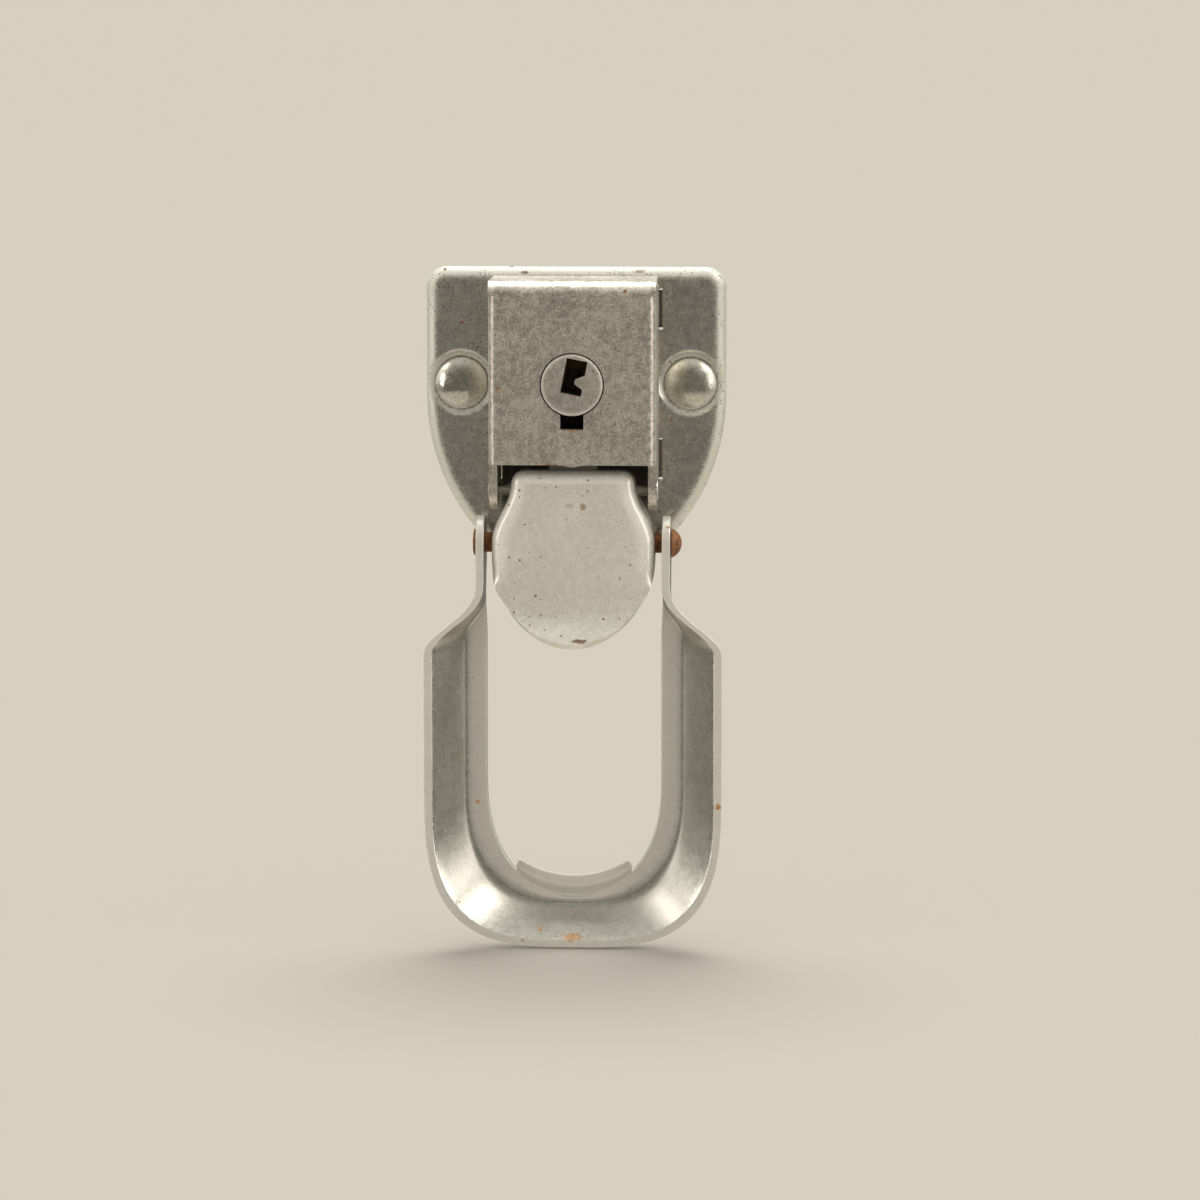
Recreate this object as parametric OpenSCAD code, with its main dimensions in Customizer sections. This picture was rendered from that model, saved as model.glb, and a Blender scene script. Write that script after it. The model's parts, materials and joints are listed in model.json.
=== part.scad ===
// Keyed draw-bolt latch for a trunk or case: a thumb lever with a swinging bail, and a wafer
// lock whose bolt blocks the lever's heel.
// X is to the right, Z is up and the front faces -Y. The panel that carries the latch is the
// plane Y = 0, and the origin is midway between the two mounting rivets. A "height" is the
// distance in front of the panel, so it runs along -Y.

/* [Base plate] */
// Width of the base plate
plate_w = 44; // [43.5:0.5:45]
// Top edge above the rivet line
plate_top = 17; // [16.5:0.5:18]
// Foot below the rivet line
plate_foot = 25; // [24.5:0.5:26]
// Height of the plate's face
plate_h = 2.5; // [2.4:0.1:2.6]
// Thickness of the plate, case and bail sheet
sheet = 1.2; // [1.1:0.1:1.2]
// Corner radius at the top of the plate
plate_corner_r = 3; // [2:0.5:4]
// Radius of the long curve down each side
side_sweep_r = 30.5; // [29:0.5:33]

/* [Mounting rivets] */
// Distance between the two mounting rivets
rivet_gap = 33.7; // [33.4:0.1:34]
// Radius of the rivet shank
shank_r = 2; // [1.6:0.1:2.2]
// How far the shank swells in front of the panel, where it fills the plate's hole
shank_swell = 0.2; // [0.1:0.05:0.3]
// Length of shank behind the panel plane
shank_tail = 4; // [3:0.5:6]
// Radius of the rivet head
head_r = 3.8; // [3.4:0.1:3.9]
// Height of the domed head
head_rise = 1.5; // [1:0.1:2]

/* [Lock case] */
// Width of the case
case_w = 24.4; // [24:0.1:24.5]
// Top of the case above the rivet line
case_top = 15.8; // [15.5:0.1:16]
// Lower edge of the case's face
case_foot = -10.9; // [-11:0.1:-10.8]
// Height of the case's face
case_h = 13.5; // [13.4:0.1:13.8]
// Outer radius of the case's bends
bend_r = 1.3; // [1.2:0.1:1.6]
// Radius of the ear that carries the lever's pin
ear_r = 2.9; // [2.7:0.1:2.9]

/* [Lock] */
// Radius of the plug
plug_r = 4.5; // [4.4:0.05:4.6]
// Plug's axis above the rivet line
plug_z = 0.8; // [0.7:0.1:0.9]
// Angle the plug leans clockwise of upright, in degrees
plug_lean = 11; // [0:1:20]
// Radius of the crank pin's circle
crank_r = 1.7; // [1.6:0.05:1.75]
// Number of wafers
wafer_count = 4; // [2:1:4]
// Spacing of the wafers
wafer_pitch = 1.5; // [1.4:0.05:1.5]
// Thickness of a wafer
wafer_t = 0.75; // [0.6:0.05:0.8]
// Lowest point of the bolt's head when thrown
bolt_thrown = -11; // [-11:0.05:-10.9]

/* [Lever] */
// Height of the lever's pivot pin
pin_h = 8.5; // [8.4:0.05:8.6]
// Pivot pin below the rivet line
pin_z = -15; // [-15.1:0.05:-14.9]
// Radius of the pivot pin
pin_r = 0.85; // [0.7:0.05:0.9]
// Height of the lever's face
lever_h = 12.1; // [12:0.05:12.2]
// Thickness of the lever's sheet
lever_sheet = 1.1; // [1:0.05:1.1]
// Height of the rear edge of the lever's side walls
lever_back = 5.2; // [5:0.1:6]
// Radius of the curl of the finger lip
lip_curl_r = 9.7; // [9:0.1:11]
// Angle that the finger lip curls through, in degrees
lip_turn = 50; // [40:1:55]

/* [Bail] */
// Height of the bail's rivet
bail_h = 7.5; // [7.4:0.05:7.6]
// Bail's rivet below the mounting rivets
bail_z = -22.9; // [-23:0.05:-22.8]
// Radius of the bail's rivet
bail_rivet_r = 1.45; // [1.3:0.05:1.5]
// Half the gap between the bail's ears
ear_half_gap = 13; // [13:0.05:13.2]
// Half the clear width of the loop
loop_half = 12.8; // [12.7:0.05:12.9]
// Half the width of the channel's floor, at the foot of the flare
foot_half = 16; // [15.5:0.1:16.5]
// Half the width over the flared rim
rim_half = 21.9; // [21:0.1:22.5]
// Height of the rim
rim_h = 12; // [11.5:0.1:12]

/* [Hidden] */
$fn = 48;

fit = 0.05;                 // radial clearance of a running fit
overcut = 1;                // how far a cut runs past the face it opens
rivet_x = rivet_gap / 2;
half_case = case_w / 2;
inner_case = half_case - sheet;
face_back = case_h - sheet; // height of the rear of the case's face

shoulder_z = -2;            // where the plate's sides start to sweep in
rim_round = 0.6;            // step that stands for the plate's rolled edge
dimple_r = 4.7;
dimple_depth = 0.6;
seat_h = plate_h - dimple_depth;

tab_spans = [[7.9, 14], [-14.2, -8]];
tab_t = 1;
tab_reach = 1.6;

bolt_throw = 2 * crank_r * sin(45);
bolt_rest_lift = bolt_throw / 2 - bolt_throw * plug_lean / 90;
bolt_bottom = bolt_thrown + bolt_throw - bolt_throw * plug_lean / 90;
bolt_half = 4.4;
bolt_low = 2.6;
bolt_high = 4.2;
bolt_head_h = 8.6;
bolt_head_z = 2;
crank_pin_r = 0.6;
cam_r = 5;
cam_low = 4.4;
cam_high = 5.4;
plug_back = 5.5;
stub_r = 0.9;
keyway_back = 6;
first_wafer_h = 11.2;
wafer_half = 1.6;
spring_x = 2.35;
spring_r = 0.42;
spring_wire_r = 0.09;
arm_low = -1.3;
arm_high = -0.6;
pocket_low = -2.8;
pocket_high = 2.2;
channel_foot = -5.7;
body_foot = -9;
body_top = 14.4;

lever_top = -11.9;
skirt_foot = -29;
curl_z = -29.5;
heel_half = 3.5;
heel_low = 8.9;
heel_reach = 5.3;
// Half-widths of the lever at five levels, from its top edge to the foot of its skirt
lever_widths = [[9, lever_top], [9.5, -14.9], [11.5, -19.8], [11.9, -23.7], [11.7, skirt_foot]];

bail_ear_r = 4;
floor_low = 6;
floor_high = floor_low + sheet;
ear_foot = -30.5;
loop_z = -58.1;             // where the straight sides of the loop end
loop_depth = 17.1;
foot_depth = 18.5;
rim_depth = 24.3;
tongue_r = 15.1;            // radius of the tongue's bearing edge
tongue_tip = -72.4;
tongue_rise = 1;
tongue_half_angle = 43;

// ---- helpers ----

// Extrudes an outline drawn in X and Z from one height to another.
module rise(low, high) {
  rotate([90, 0, 0]) translate([0, 0, low]) linear_extrude(high - low) children();
}

// Extrudes a side view, drawn as height and Z, from one X to another.
module across(left, right) {
  rotate([90, 0, -90]) translate([0, 0, -right]) linear_extrude(right - left) children();
}

// Extrudes a plan view, drawn as X and height, from one Z to another.
module upright(low, high) {
  translate([0, 0, low]) linear_extrude(high - low) mirror([0, 1]) children();
}

// A round bar or bore along X.
module crossbar(h, z, r, left, right) {
  translate([left, -h, z]) rotate([0, 90, 0]) cylinder(r = r, h = right - left);
}

// A round bar or bore standing out from the panel, about the plane's own origin.
module barrel(r, low, high) {
  rotate([90, 0, 0]) translate([0, 0, low]) cylinder(r = r, h = high - low);
}

// A block given by its X, height and Z limits.
module block(xs, hs, zs) {
  translate([xs[0], -hs[1], zs[0]]) cube([xs[1] - xs[0], hs[1] - hs[0], zs[1] - zs[0]]);
}

// A rectangle with round corners.
module rounded_rect(left, right, low, high, r) {
  translate([left, low + r]) square([right - left, high - low - 2 * r]);
  translate([left + r, low]) square([right - left - 2 * r, high - low]);
  for (x = [left + r, right - r], z = [low + r, high - r]) translate([x, z]) circle(r);
}

// A spherical cap of radius r at its foot, standing along Z.
module dome(r, rise_h) {
  ball_r = (r * r + rise_h * rise_h) / (2 * rise_h);
  intersection() {
    translate([0, 0, rise_h - ball_r]) sphere(ball_r);
    cylinder(r = r, h = rise_h);
  }
}

// Joins rings of points, one after another, into a closed solid.
module skin(rings) {
  n = len(rings[0]);
  last = len(rings) - 1;
  faces = concat(
    [[for (i = [0:n - 1]) i]],
    [for (k = [0:last - 1], i = [0:n - 1])
      [k * n + i, (k + 1) * n + i, (k + 1) * n + (i + 1) % n, k * n + (i + 1) % n]],
    [[for (i = [n - 1:-1:0]) last * n + i]]);
  polyhedron(points = [for (ring = rings) each ring], faces = faces, convexity = 6);
}

// Mirrors its children to the other side as well.
module both_sides() {
  children();
  mirror([1, 0, 0]) children();
}

// ---- base plate and mounting rivets ----

module plate_outline(inset) {
  half = plate_w / 2 - inset;
  intersection() {
    rounded_rect(-half, half, inset - plate_foot, plate_top - inset, plate_corner_r - inset);
    union() {
      translate([-half, shoulder_z]) square([2 * half, plate_top - shoulder_z]);
      intersection_for (side = [-1, 1])
        translate([side * (side_sweep_r - plate_w / 2), shoulder_z])
          circle(side_sweep_r - inset, $fn = 96);
    }
  }
}

module base_plate() color("silver") difference() {
  union() {
    difference() {
      union() {
        rise(0, plate_h - rim_round) plate_outline(0);
        rise(0, plate_h) plate_outline(rim_round);
      }
      rise(-overcut, plate_h - sheet) plate_outline(sheet);
    }
    for (side = [-1, 1]) translate([side * rivet_x, 0, 0])
      barrel(dimple_r, seat_h - sheet, plate_h - sheet / 2);
  }
  for (side = [-1, 1]) translate([side * rivet_x, 0, 0]) {
    rotate([90, 0, 0]) translate([0, 0, seat_h])
      cylinder(r1 = head_r + 0.1, r2 = dimple_r, h = dimple_depth);
    barrel(shank_r + shank_swell + fit, -overcut, plate_h + overcut);
  }
  both_sides() for (span = tab_spans)
    block([inner_case - 0.1, half_case + 0.4], [-overcut, plate_h + overcut], span);
}

module mounting_rivet(side) color("gainsboro") translate([side * rivet_x, 0, 0]) {
  barrel(shank_r, -shank_tail, 0.2);
  barrel(shank_r + shank_swell, 0, seat_h + 0.2);
  rotate([90, 0, 0]) translate([0, 0, seat_h]) dome(head_r, head_rise);
}

module mounting_rivet_left() mounting_rivet(-1);

module mounting_rivet_right() mounting_rivet(1);

// ---- lock case ----

// Side view of the case: a box with a round top edge, and an ear round the lever's pin.
module case_side() {
  intersection() {
    rounded_rect(plate_h - 2 * bend_r, case_h, case_foot - 2 * bend_r, case_top, bend_r);
    translate([plate_h, case_foot]) square([case_h - plate_h, case_top - case_foot]);
  }
  translate([pin_h, pin_z]) circle(ear_r);
  polygon([[plate_h, case_foot + overcut], [pin_h + ear_r, case_foot + overcut],
           [pin_h + ear_r, pin_z], [pin_h, pin_z - ear_r],
           [plate_h, tab_spans[1][0] - 0.3]]);
}

module lock_case() color("lightgray") {
  difference() {
    intersection() {
      upright(pin_z - 2 * ear_r, case_top)
        rounded_rect(-half_case, half_case, -2, case_h, bend_r);
      across(-half_case, half_case) case_side();
    }
    block([-inner_case, inner_case], [-overcut, face_back],
          [pin_z - 2 * ear_r, case_top - sheet]);
    translate([0, 0, plug_z]) barrel(plug_r + 0.07, face_back - overcut, case_h + overcut);
    block([-1.7, 1.7], [face_back - overcut, case_h + overcut], [channel_foot, plug_z]);
    crossbar(pin_h, pin_z, pin_r + 0.02, -half_case - overcut, half_case + overcut);
  }
  both_sides() for (span = tab_spans) {
    low = plate_h - sheet - tab_t - 0.1;
    block([inner_case, half_case], [low, plate_h], [span[0] + 0.3, span[1] - 0.3]);
    block([half_case, half_case + tab_reach], [low, low + tab_t],
          [span[0] + 0.3, span[1] - 0.3]);
  }
}

// ---- lock ----

module lock_body() color("darkgray") difference() {
  rise(plate_h, face_back)
    rounded_rect(-inner_case + 0.1, inner_case - 0.1, body_foot, body_top, 1);
  translate([0, 0, plug_z]) {
    barrel(plug_r + fit, plug_back - overcut, face_back + overcut);
    barrel(cam_r + 0.15, bolt_high, cam_high + 0.1);
  }
  block([-1.7, 1.7], [keyway_back + 0.2, face_back + overcut], [channel_foot, plug_z]);
  block([-bolt_half - 0.1, bolt_half + 0.1], [plate_h - overcut, bolt_high + 0.1],
        [body_foot - overcut, plug_z + 3.8]);
  block([-bolt_half - 0.1, bolt_half + 0.1], [plate_h - overcut, bolt_head_h + 0.1],
        [body_foot - overcut, bolt_bottom + bolt_head_z + bolt_throw * plug_lean / 90 + 0.15]);
}

// The plug's own frame: its axis at the origin, with the keyway opening along +Z.
module in_plug() translate([0, 0, plug_z]) rotate([0, plug_lean, 0]) children();

function wafer_h(i) = first_wafer_h - (i - 1) * wafer_pitch;

module keyway() {
  polygon([[-1.45, -1.4], [1.6, -1.4], [1.6, -0.4], [0.32, 0.24], [0.32, 0.9],
           [1.6, 1.7], [1.6, plug_r + overcut], [-1.45, plug_r + overcut]]);
}

module plug() color("lightgoldenrodyellow") in_plug() {
  difference() {
    barrel(plug_r, plug_back, case_h);
    rise(keyway_back, case_h + overcut) keyway();
    for (i = [1:wafer_count]) {
      slot = wafer_t / 2 + fit;
      block([-wafer_half - fit, wafer_half + fit], [wafer_h(i) - slot, wafer_h(i) + slot],
            [-plug_r - overcut, plug_r + overcut]);
      block([spring_x - 0.6, spring_x + 0.6], [wafer_h(i) - 0.55, wafer_h(i) + 0.55],
            [pocket_low, pocket_high]);
      block([wafer_half - fit, spring_x], [wafer_h(i) - slot, wafer_h(i) + slot],
            [pocket_low, arm_high + fit]);
    }
  }
  barrel(stub_r, cam_low, plug_back + 0.2);
}

module plug_cam() color("dimgray") in_plug() {
  difference() {
    barrel(cam_r, cam_low, cam_high);
    barrel(stub_r + 0.02, cam_low - overcut, cam_high + overcut);
  }
  rotate([0, -45, 0]) translate([crank_r, 0, 0]) barrel(crank_pin_r, bolt_low + 0.4, cam_low + 0.2);
}

// A flat wafer with a window for the key, cut a little lower on every other wafer.
module wafer(i) color("goldenrod") in_plug()
  rise(wafer_h(i) - wafer_t / 2, wafer_h(i) + wafer_t / 2) difference() {
    union() {
      intersection() {
        circle(plug_r - 0.1);
        square([2 * wafer_half, 2 * plug_r], center = true);
      }
      translate([0, arm_low]) square([spring_x + 0.45, arm_high - arm_low]);
    }
    translate([-1.05, -1.8 - 0.3 * (i % 2)]) square([2.1, 4.4]);
  }

module wafer_1() wafer(1);
module wafer_2() wafer(2);
module wafer_3() wafer(3);
module wafer_4() wafer(4);

// A coil spring between the wafer's arm and the top of its pocket.
module wafer_spring(i) color("lightsteelblue") in_plug() {
  turns = 5;
  steps = 12 * turns;
  low = arm_high + spring_wire_r + 0.03;
  high = pocket_high - spring_wire_r - 0.03;
  skin([for (k = [0:steps])
    let (a = 360 * turns * k / steps, z = low + (high - low) * k / steps)
    [for (b = [0:60:300])
      let (r = spring_r + spring_wire_r * cos(b))
      [spring_x + r * cos(a), r * sin(a) - wafer_h(i), z + spring_wire_r * sin(b)]]]);
}

module wafer_spring_1() wafer_spring(1);
module wafer_spring_2() wafer_spring(2);
module wafer_spring_3() wafer_spring(3);
module wafer_spring_4() wafer_spring(4);

module bolt() color("slategray") {
  difference() {
    block([-bolt_half, bolt_half], [bolt_low, bolt_high], [bolt_bottom, plug_z + 3.2]);
    translate([0, 0, plug_z + bolt_rest_lift])
      block([0.3, 2.7], [bolt_low - overcut, bolt_high + overcut],
            [-crank_pin_r - 0.1, crank_pin_r + 0.1]);
  }
  block([-bolt_half, bolt_half], [bolt_high - 0.2, bolt_head_h],
        [bolt_bottom, bolt_bottom + bolt_head_z]);
}

// ---- lever ----

// Front view of the lever's skirt: wider from its top edge down to the bail's rivet.
module lever_outline(inset) {
  right = [for (p = lever_widths) [p[0] - inset, p[1]]];
  left = [for (i = [len(lever_widths) - 1:-1:0]) [inset - lever_widths[i][0], lever_widths[i][1]]];
  polygon(concat(right, left));
}

// Front view of the finger lip, below the skirt.
module lip_outline() {
  translate([0, -26.7]) circle(11);
  polygon([[11.7, skirt_foot], [9.4, -32.5], [-9.4, -32.5], [-11.7, skirt_foot]]);
}

// Side view of the one sheet that forms the lever's top wall, face and curled lip.
module lever_ribbon() {
  round_r = 1.8;
  translate([lever_h - lever_sheet, curl_z])
    square([lever_sheet, lever_top - round_r - curl_z]);
  translate([heel_low, lever_top - lever_sheet])
    square([lever_h - round_r - heel_low, lever_sheet]);
  intersection() {
    translate([lever_h - round_r, lever_top - round_r]) difference() {
      circle(round_r);
      circle(round_r - lever_sheet);
    }
    translate([lever_h - round_r, lever_top - round_r]) square(round_r);
  }
  intersection() {
    translate([lever_h + lip_curl_r, curl_z]) difference() {
      circle(lip_curl_r + lever_sheet, $fn = 96);
      circle(lip_curl_r, $fn = 96);
    }
    translate([lever_h + lip_curl_r, curl_z]) polygon([[0, 0], [-2 * lip_curl_r, 0],
      [-2 * lip_curl_r, -2 * lip_curl_r * tan(lip_turn)]]);
  }
}

module lever() color("whitesmoke") difference() {
  union() {
    intersection() {
      across(-13, 13) lever_ribbon();
      rise(0, 20) {
        lever_outline(0);
        lip_outline();
      }
    }
    intersection() {
      rise(lever_back, lever_h - lever_sheet / 2) difference() {
        lever_outline(0);
        lever_outline(lever_sheet);
      }
      across(-13, 13) polygon([[lever_back, lever_top - 2.5], [lever_back + 1.5, lever_top - 1],
        [lever_h, lever_top - 1], [lever_h, skirt_foot], [lever_h - 2, skirt_foot],
        [lever_back + 1, skirt_foot + 1.5], [lever_back, skirt_foot + 3]]);
    }
    block([-heel_half, heel_half], [heel_low, heel_low + lever_sheet],
          [lever_top - lever_sheet, pin_z + heel_reach]);
  }
  crossbar(pin_h, pin_z, pin_r + fit, -13, 13);
  crossbar(bail_h, bail_z, bail_rivet_r + fit, -13, 13);
}

module lever_pin() color("lightsteelblue") {
  crossbar(pin_h, pin_z, pin_r, -half_case - 0.1, half_case + 0.1);
  both_sides() crossbar(pin_h, pin_z, 1.7, half_case, half_case + 0.3);
}

// ---- bail ----

function signed_power(v, p) = sign(v) * pow(abs(v), p);

// Point of a squared-off half ellipse below loop_z: half-width a, depth b, squareness n.
function u_curve(a, b, n, t) =
  [a * signed_power(cos(t), 2 / n), loop_z - b * signed_power(sin(t), 2 / n)];

// Share of a smooth S between two levels, with its slow part first.
function s_share(z, from, drop, lag) =
  pow(sin(90 * pow(max(0, min(1, (from - z) / drop)), lag)), 2);

function at_height(p, h) = [p[0], -h, p[1]];

// Section of the channel: inner edge of the floor, foot of the flare, and rim.
function channel_ring(inner, foot, rim, toe) =
  let (out = (rim - foot) / norm(rim - foot))
  [at_height(inner, floor_low), at_height(foot + toe * out, floor_low),
   at_height(rim, rim_h), at_height(rim - sheet * out, rim_h),
   at_height(foot, floor_high), at_height(inner, floor_high)];

function side_ring(z, side) =
  let (flare = s_share(z, -28.5, 10.5, 1.25), spread = s_share(z, -31, 6, 1))
  channel_ring([side * (loop_half + 0.15 * (1 - spread)), z],
    [side * (ear_half_gap + (foot_half - ear_half_gap) * spread), z],
    [side * (ear_half_gap + sheet + (rim_half - ear_half_gap - sheet) * flare), z],
    sheet - (sheet - 0.1) * flare);

function end_ring(t) =
  channel_ring(u_curve(loop_half, loop_depth, 2.25, t), u_curve(foot_half, foot_depth, 2.7, t),
    u_curve(rim_half, rim_depth, 3.2, t), 0.1);

function tongue_ring(t) =
  let (root = u_curve(loop_half + 0.3, loop_depth + 0.3, 2.25, t),
       x = 0.95 * root[0],
       tip = [x, tongue_tip + tongue_r - sqrt(tongue_r * tongue_r - x * x)])
  [at_height(root, floor_low), at_height(root, floor_high),
   at_height(tip, floor_high + tongue_rise), at_height(tip, floor_low + tongue_rise)];

// The channel's end, buried in the ear.
function root_ring(side) =
  [for (p = [[13.2, 6.4], [14, 6.4], [14, 11.6], [13.3, 11.6], [13.25, 7.5], [13.2, 7]])
    [side * p[0], -p[1], ear_foot + 2]];

side_levels = [ear_foot - 0.3, -31.5, -32.2, -33, -34, -35, -36, -37, -38, -39, -48];
end_angles = [0, 2, 5, 9, 14, 20, 27, 34, 41, 48, 55, 62, 69, 75, 80, 84, 87];

module bail_channel() skin(concat(
  [root_ring(1)],
  [for (z = side_levels) side_ring(z, 1)],
  [for (t = end_angles) end_ring(t)],
  [end_ring(90)],
  [for (i = [len(end_angles) - 1:-1:0]) end_ring(180 - end_angles[i])],
  [for (i = [len(side_levels) - 1:-1:0]) side_ring(side_levels[i], -1)],
  [root_ring(-1)]));

module bail_tongue() skin([for (t = [90 - tongue_half_angle:tongue_half_angle / 8:
                                      90 + tongue_half_angle]) tongue_ring(t)]);

// Side view of a bail ear: round about the rivet, narrowing to the depth of the channel.
module bail_ear_side() {
  translate([bail_h, bail_z]) circle(bail_ear_r);
  polygon([[bail_h - bail_ear_r, bail_z], [bail_h + bail_ear_r, bail_z],
           [rim_h, ear_foot], [floor_low, ear_foot]]);
}

module bail() color("gainsboro") difference() {
  union() {
    bail_channel();
    bail_tongue();
    both_sides() across(ear_half_gap, ear_half_gap + sheet) bail_ear_side();
  }
  crossbar(bail_h, bail_z, bail_rivet_r + fit, -ear_half_gap - 3, ear_half_gap + 3);
}

module bail_rivet() color("sienna") {
  outer = ear_half_gap + sheet + 0.08;
  crossbar(bail_h, bail_z, bail_rivet_r, -outer - 0.2, outer + 0.2);
  crossbar(bail_h, bail_z, 2, -outer - 0.5, -outer);
  translate([outer, -bail_h, bail_z]) rotate([0, 90, 0]) dome(2.15, 1.5);
}

base_plate();
lock_case();
mounting_rivet_left();
mounting_rivet_right();
lock_body();
plug();
plug_cam();
wafer_1();
wafer_2();
wafer_3();
wafer_4();
wafer_spring_1();
wafer_spring_2();
wafer_spring_3();
wafer_spring_4();
bolt();
lever();
lever_pin();
bail();
bail_rivet();
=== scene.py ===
import json

import bmesh
import bpy
import numpy as np
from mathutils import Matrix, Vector


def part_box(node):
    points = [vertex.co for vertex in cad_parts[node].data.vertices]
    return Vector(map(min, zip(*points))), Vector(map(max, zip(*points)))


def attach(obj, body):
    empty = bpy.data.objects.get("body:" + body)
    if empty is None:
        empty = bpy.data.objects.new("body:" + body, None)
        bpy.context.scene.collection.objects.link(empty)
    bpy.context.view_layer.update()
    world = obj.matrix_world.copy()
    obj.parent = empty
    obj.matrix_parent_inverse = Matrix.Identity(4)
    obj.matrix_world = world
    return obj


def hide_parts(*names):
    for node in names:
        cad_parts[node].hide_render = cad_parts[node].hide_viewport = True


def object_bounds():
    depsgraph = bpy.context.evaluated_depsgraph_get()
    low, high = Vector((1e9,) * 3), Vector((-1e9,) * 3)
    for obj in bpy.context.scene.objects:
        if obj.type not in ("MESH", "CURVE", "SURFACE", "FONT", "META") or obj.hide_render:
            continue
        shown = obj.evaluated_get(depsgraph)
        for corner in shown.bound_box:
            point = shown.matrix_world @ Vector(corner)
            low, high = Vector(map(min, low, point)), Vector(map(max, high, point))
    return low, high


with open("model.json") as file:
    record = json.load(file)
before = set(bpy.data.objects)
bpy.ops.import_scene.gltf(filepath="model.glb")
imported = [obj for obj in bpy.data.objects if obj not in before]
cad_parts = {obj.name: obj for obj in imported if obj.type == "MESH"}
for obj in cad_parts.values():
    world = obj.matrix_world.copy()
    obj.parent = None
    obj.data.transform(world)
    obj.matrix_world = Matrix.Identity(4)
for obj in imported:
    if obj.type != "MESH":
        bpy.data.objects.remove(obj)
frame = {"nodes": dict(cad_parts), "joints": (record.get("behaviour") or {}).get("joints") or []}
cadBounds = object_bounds()

# Shapes are worked out in millimetres as x, height in front of the panel, and z.
mm = 0.001
pivots = {joint["name"]: joint.get("pos_m") for joint in frame["joints"]}


def limits(node):
    # a CAD node's box in millimetres, with heights instead of -Y
    low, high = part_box(node)
    return {"left": low.x / mm, "right": high.x / mm, "back": -high.y / mm,
            "front": -low.y / mm, "foot": low.z / mm, "top": high.z / mm}


def pivotAt(joint):
    # height and z of a hinge's axis
    return -pivots[joint][1] / mm, pivots[joint][2] / mm


def smoothStep(low, high, value):
    # 0 below low, 1 above high, and 3t^2 - 2t^3 in between
    t = np.clip((value - low) / (high - low), 0, 1)
    return t * t * (3 - 2 * t)


def straight(start, end, step=0.6):
    # evenly spaced points of a line, with the normal on the left of travel
    start, end = np.array(start, float), np.array(end, float)
    length = np.linalg.norm(end - start)
    share = np.linspace(0, 1, max(2, int(np.ceil(length / step)) + 1))[:, None]
    way = (end - start) / length
    return start + share * (end - start), np.tile([-way[1], way[0]], (len(share), 1))


def arc(centre, radius, fromDeg, toDeg, step=5):
    # points of a circle, centre + radius * (cos, sin), with their outward normals
    angles = np.radians(np.linspace(fromDeg, toDeg, max(3, int(abs(toDeg - fromDeg) / step) + 1)))
    out = np.stack([np.cos(angles), np.sin(angles)], -1)
    return np.array(centre, float) + radius * out, out


def joinParts(parts):
    # one path from several, without the repeated point where two parts meet
    points = [parts[0][0]] + [p[1:] for p, n in parts[1:]]
    normals = [parts[0][1]] + [n[1:] for p, n in parts[1:]]
    return np.concatenate(points), np.concatenate(normals)


def closedByMirror(points, normals):
    # the right half of an outline, and its mirror image back up the left side
    flip = np.array([-1, 1])
    return (np.concatenate([points, points[-2:0:-1] * flip]),
            np.concatenate([normals, normals[-2:0:-1] * flip]))


def smoothedNormals(points, rounds=6):
    # left-hand normals from central differences, averaged with their neighbours
    way = np.gradient(points, axis=0)
    normals = np.stack([-way[:, 1], way[:, 0]], -1)
    for _ in range(rounds):
        normals[1:-1] = (normals[:-2] + 2 * normals[1:-1] + normals[2:]) / 4
        normals /= np.linalg.norm(normals, axis=1, keepdims=True)
    return normals


def surface(x, h, z, wearAndLight=0.0):
    # a patch: its grid of points, and each point's mark, above zero for worn edges and painted
    # highlights, below zero for painted shade
    x, h, z, wearAndLight = np.broadcast_arrays(x, h, z, wearAndLight)
    return np.stack([x, -h, z], -1) * mm, wearAndLight


def gridQuads(rows, cols, wrap):
    # quads between neighbouring rows; wrap joins the last column to the first
    r = np.arange(rows - 1)[:, None]
    c = np.arange(cols if wrap else cols - 1)[None, :]
    d = (c + 1) % cols
    quads = np.stack([r * cols + c, (r + 1) * cols + c, (r + 1) * cols + d, r * cols + d], -1)
    return quads.reshape(-1, 4)


def meanNormal(points, quads):
    a = points[quads]
    return np.cross(a[:, 2] - a[:, 0], a[:, 3] - a[:, 1]).sum(0)


def buildMesh(name, patches, closed=False):
    # Joins patches into one mesh. A patch is (surface, wrap, facing): facing is the
    # direction that its faces look in, or None where a closed skin works that out.
    points, wearAndLightValues, quads, caps, start = [], [], [], [], 0
    for (grid, wearAndLight), wrap, facing in patches:
        flat = grid.reshape(-1, 3)
        cells = gridQuads(grid.shape[0], grid.shape[1], wrap)
        if facing is not None and meanNormal(flat, cells) @ np.array(facing, float) < 0:
            cells = cells[:, ::-1]
        points.append(flat)
        wearAndLightValues.append(wearAndLight.reshape(-1))
        quads.append(cells + start)
        if closed:
            cols, last = grid.shape[1], start + len(flat)
            caps += [list(range(start, start + cols)), list(range(last - cols, last))]
        start += len(flat)
    mesh = bpy.data.meshes.new(name)
    mesh.from_pydata(np.concatenate(points).tolist(), [], np.concatenate(quads).tolist() + caps)
    mesh.attributes.new("wearAndLight", "FLOAT", "POINT").data.foreach_set(
        "value", np.concatenate(wearAndLightValues).astype(np.float32))
    work = bmesh.new()
    work.from_mesh(mesh)
    bmesh.ops.remove_doubles(work, verts=work.verts, dist=0.002 * mm)
    if closed:
        bmesh.ops.recalc_face_normals(work, faces=work.faces)
    work.to_mesh(mesh)
    work.free()
    mesh.shade_smooth()
    piece = bpy.data.objects.new(name, mesh)
    bpy.context.scene.collection.objects.link(piece)
    return piece


def addSheet(piece, thickness):
    solid = piece.modifiers.new("sheet", "SOLIDIFY")
    solid.thickness = thickness * mm
    solid.offset = -1
    solid.use_even_offset = True
    solid.use_quality_normals = True


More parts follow.
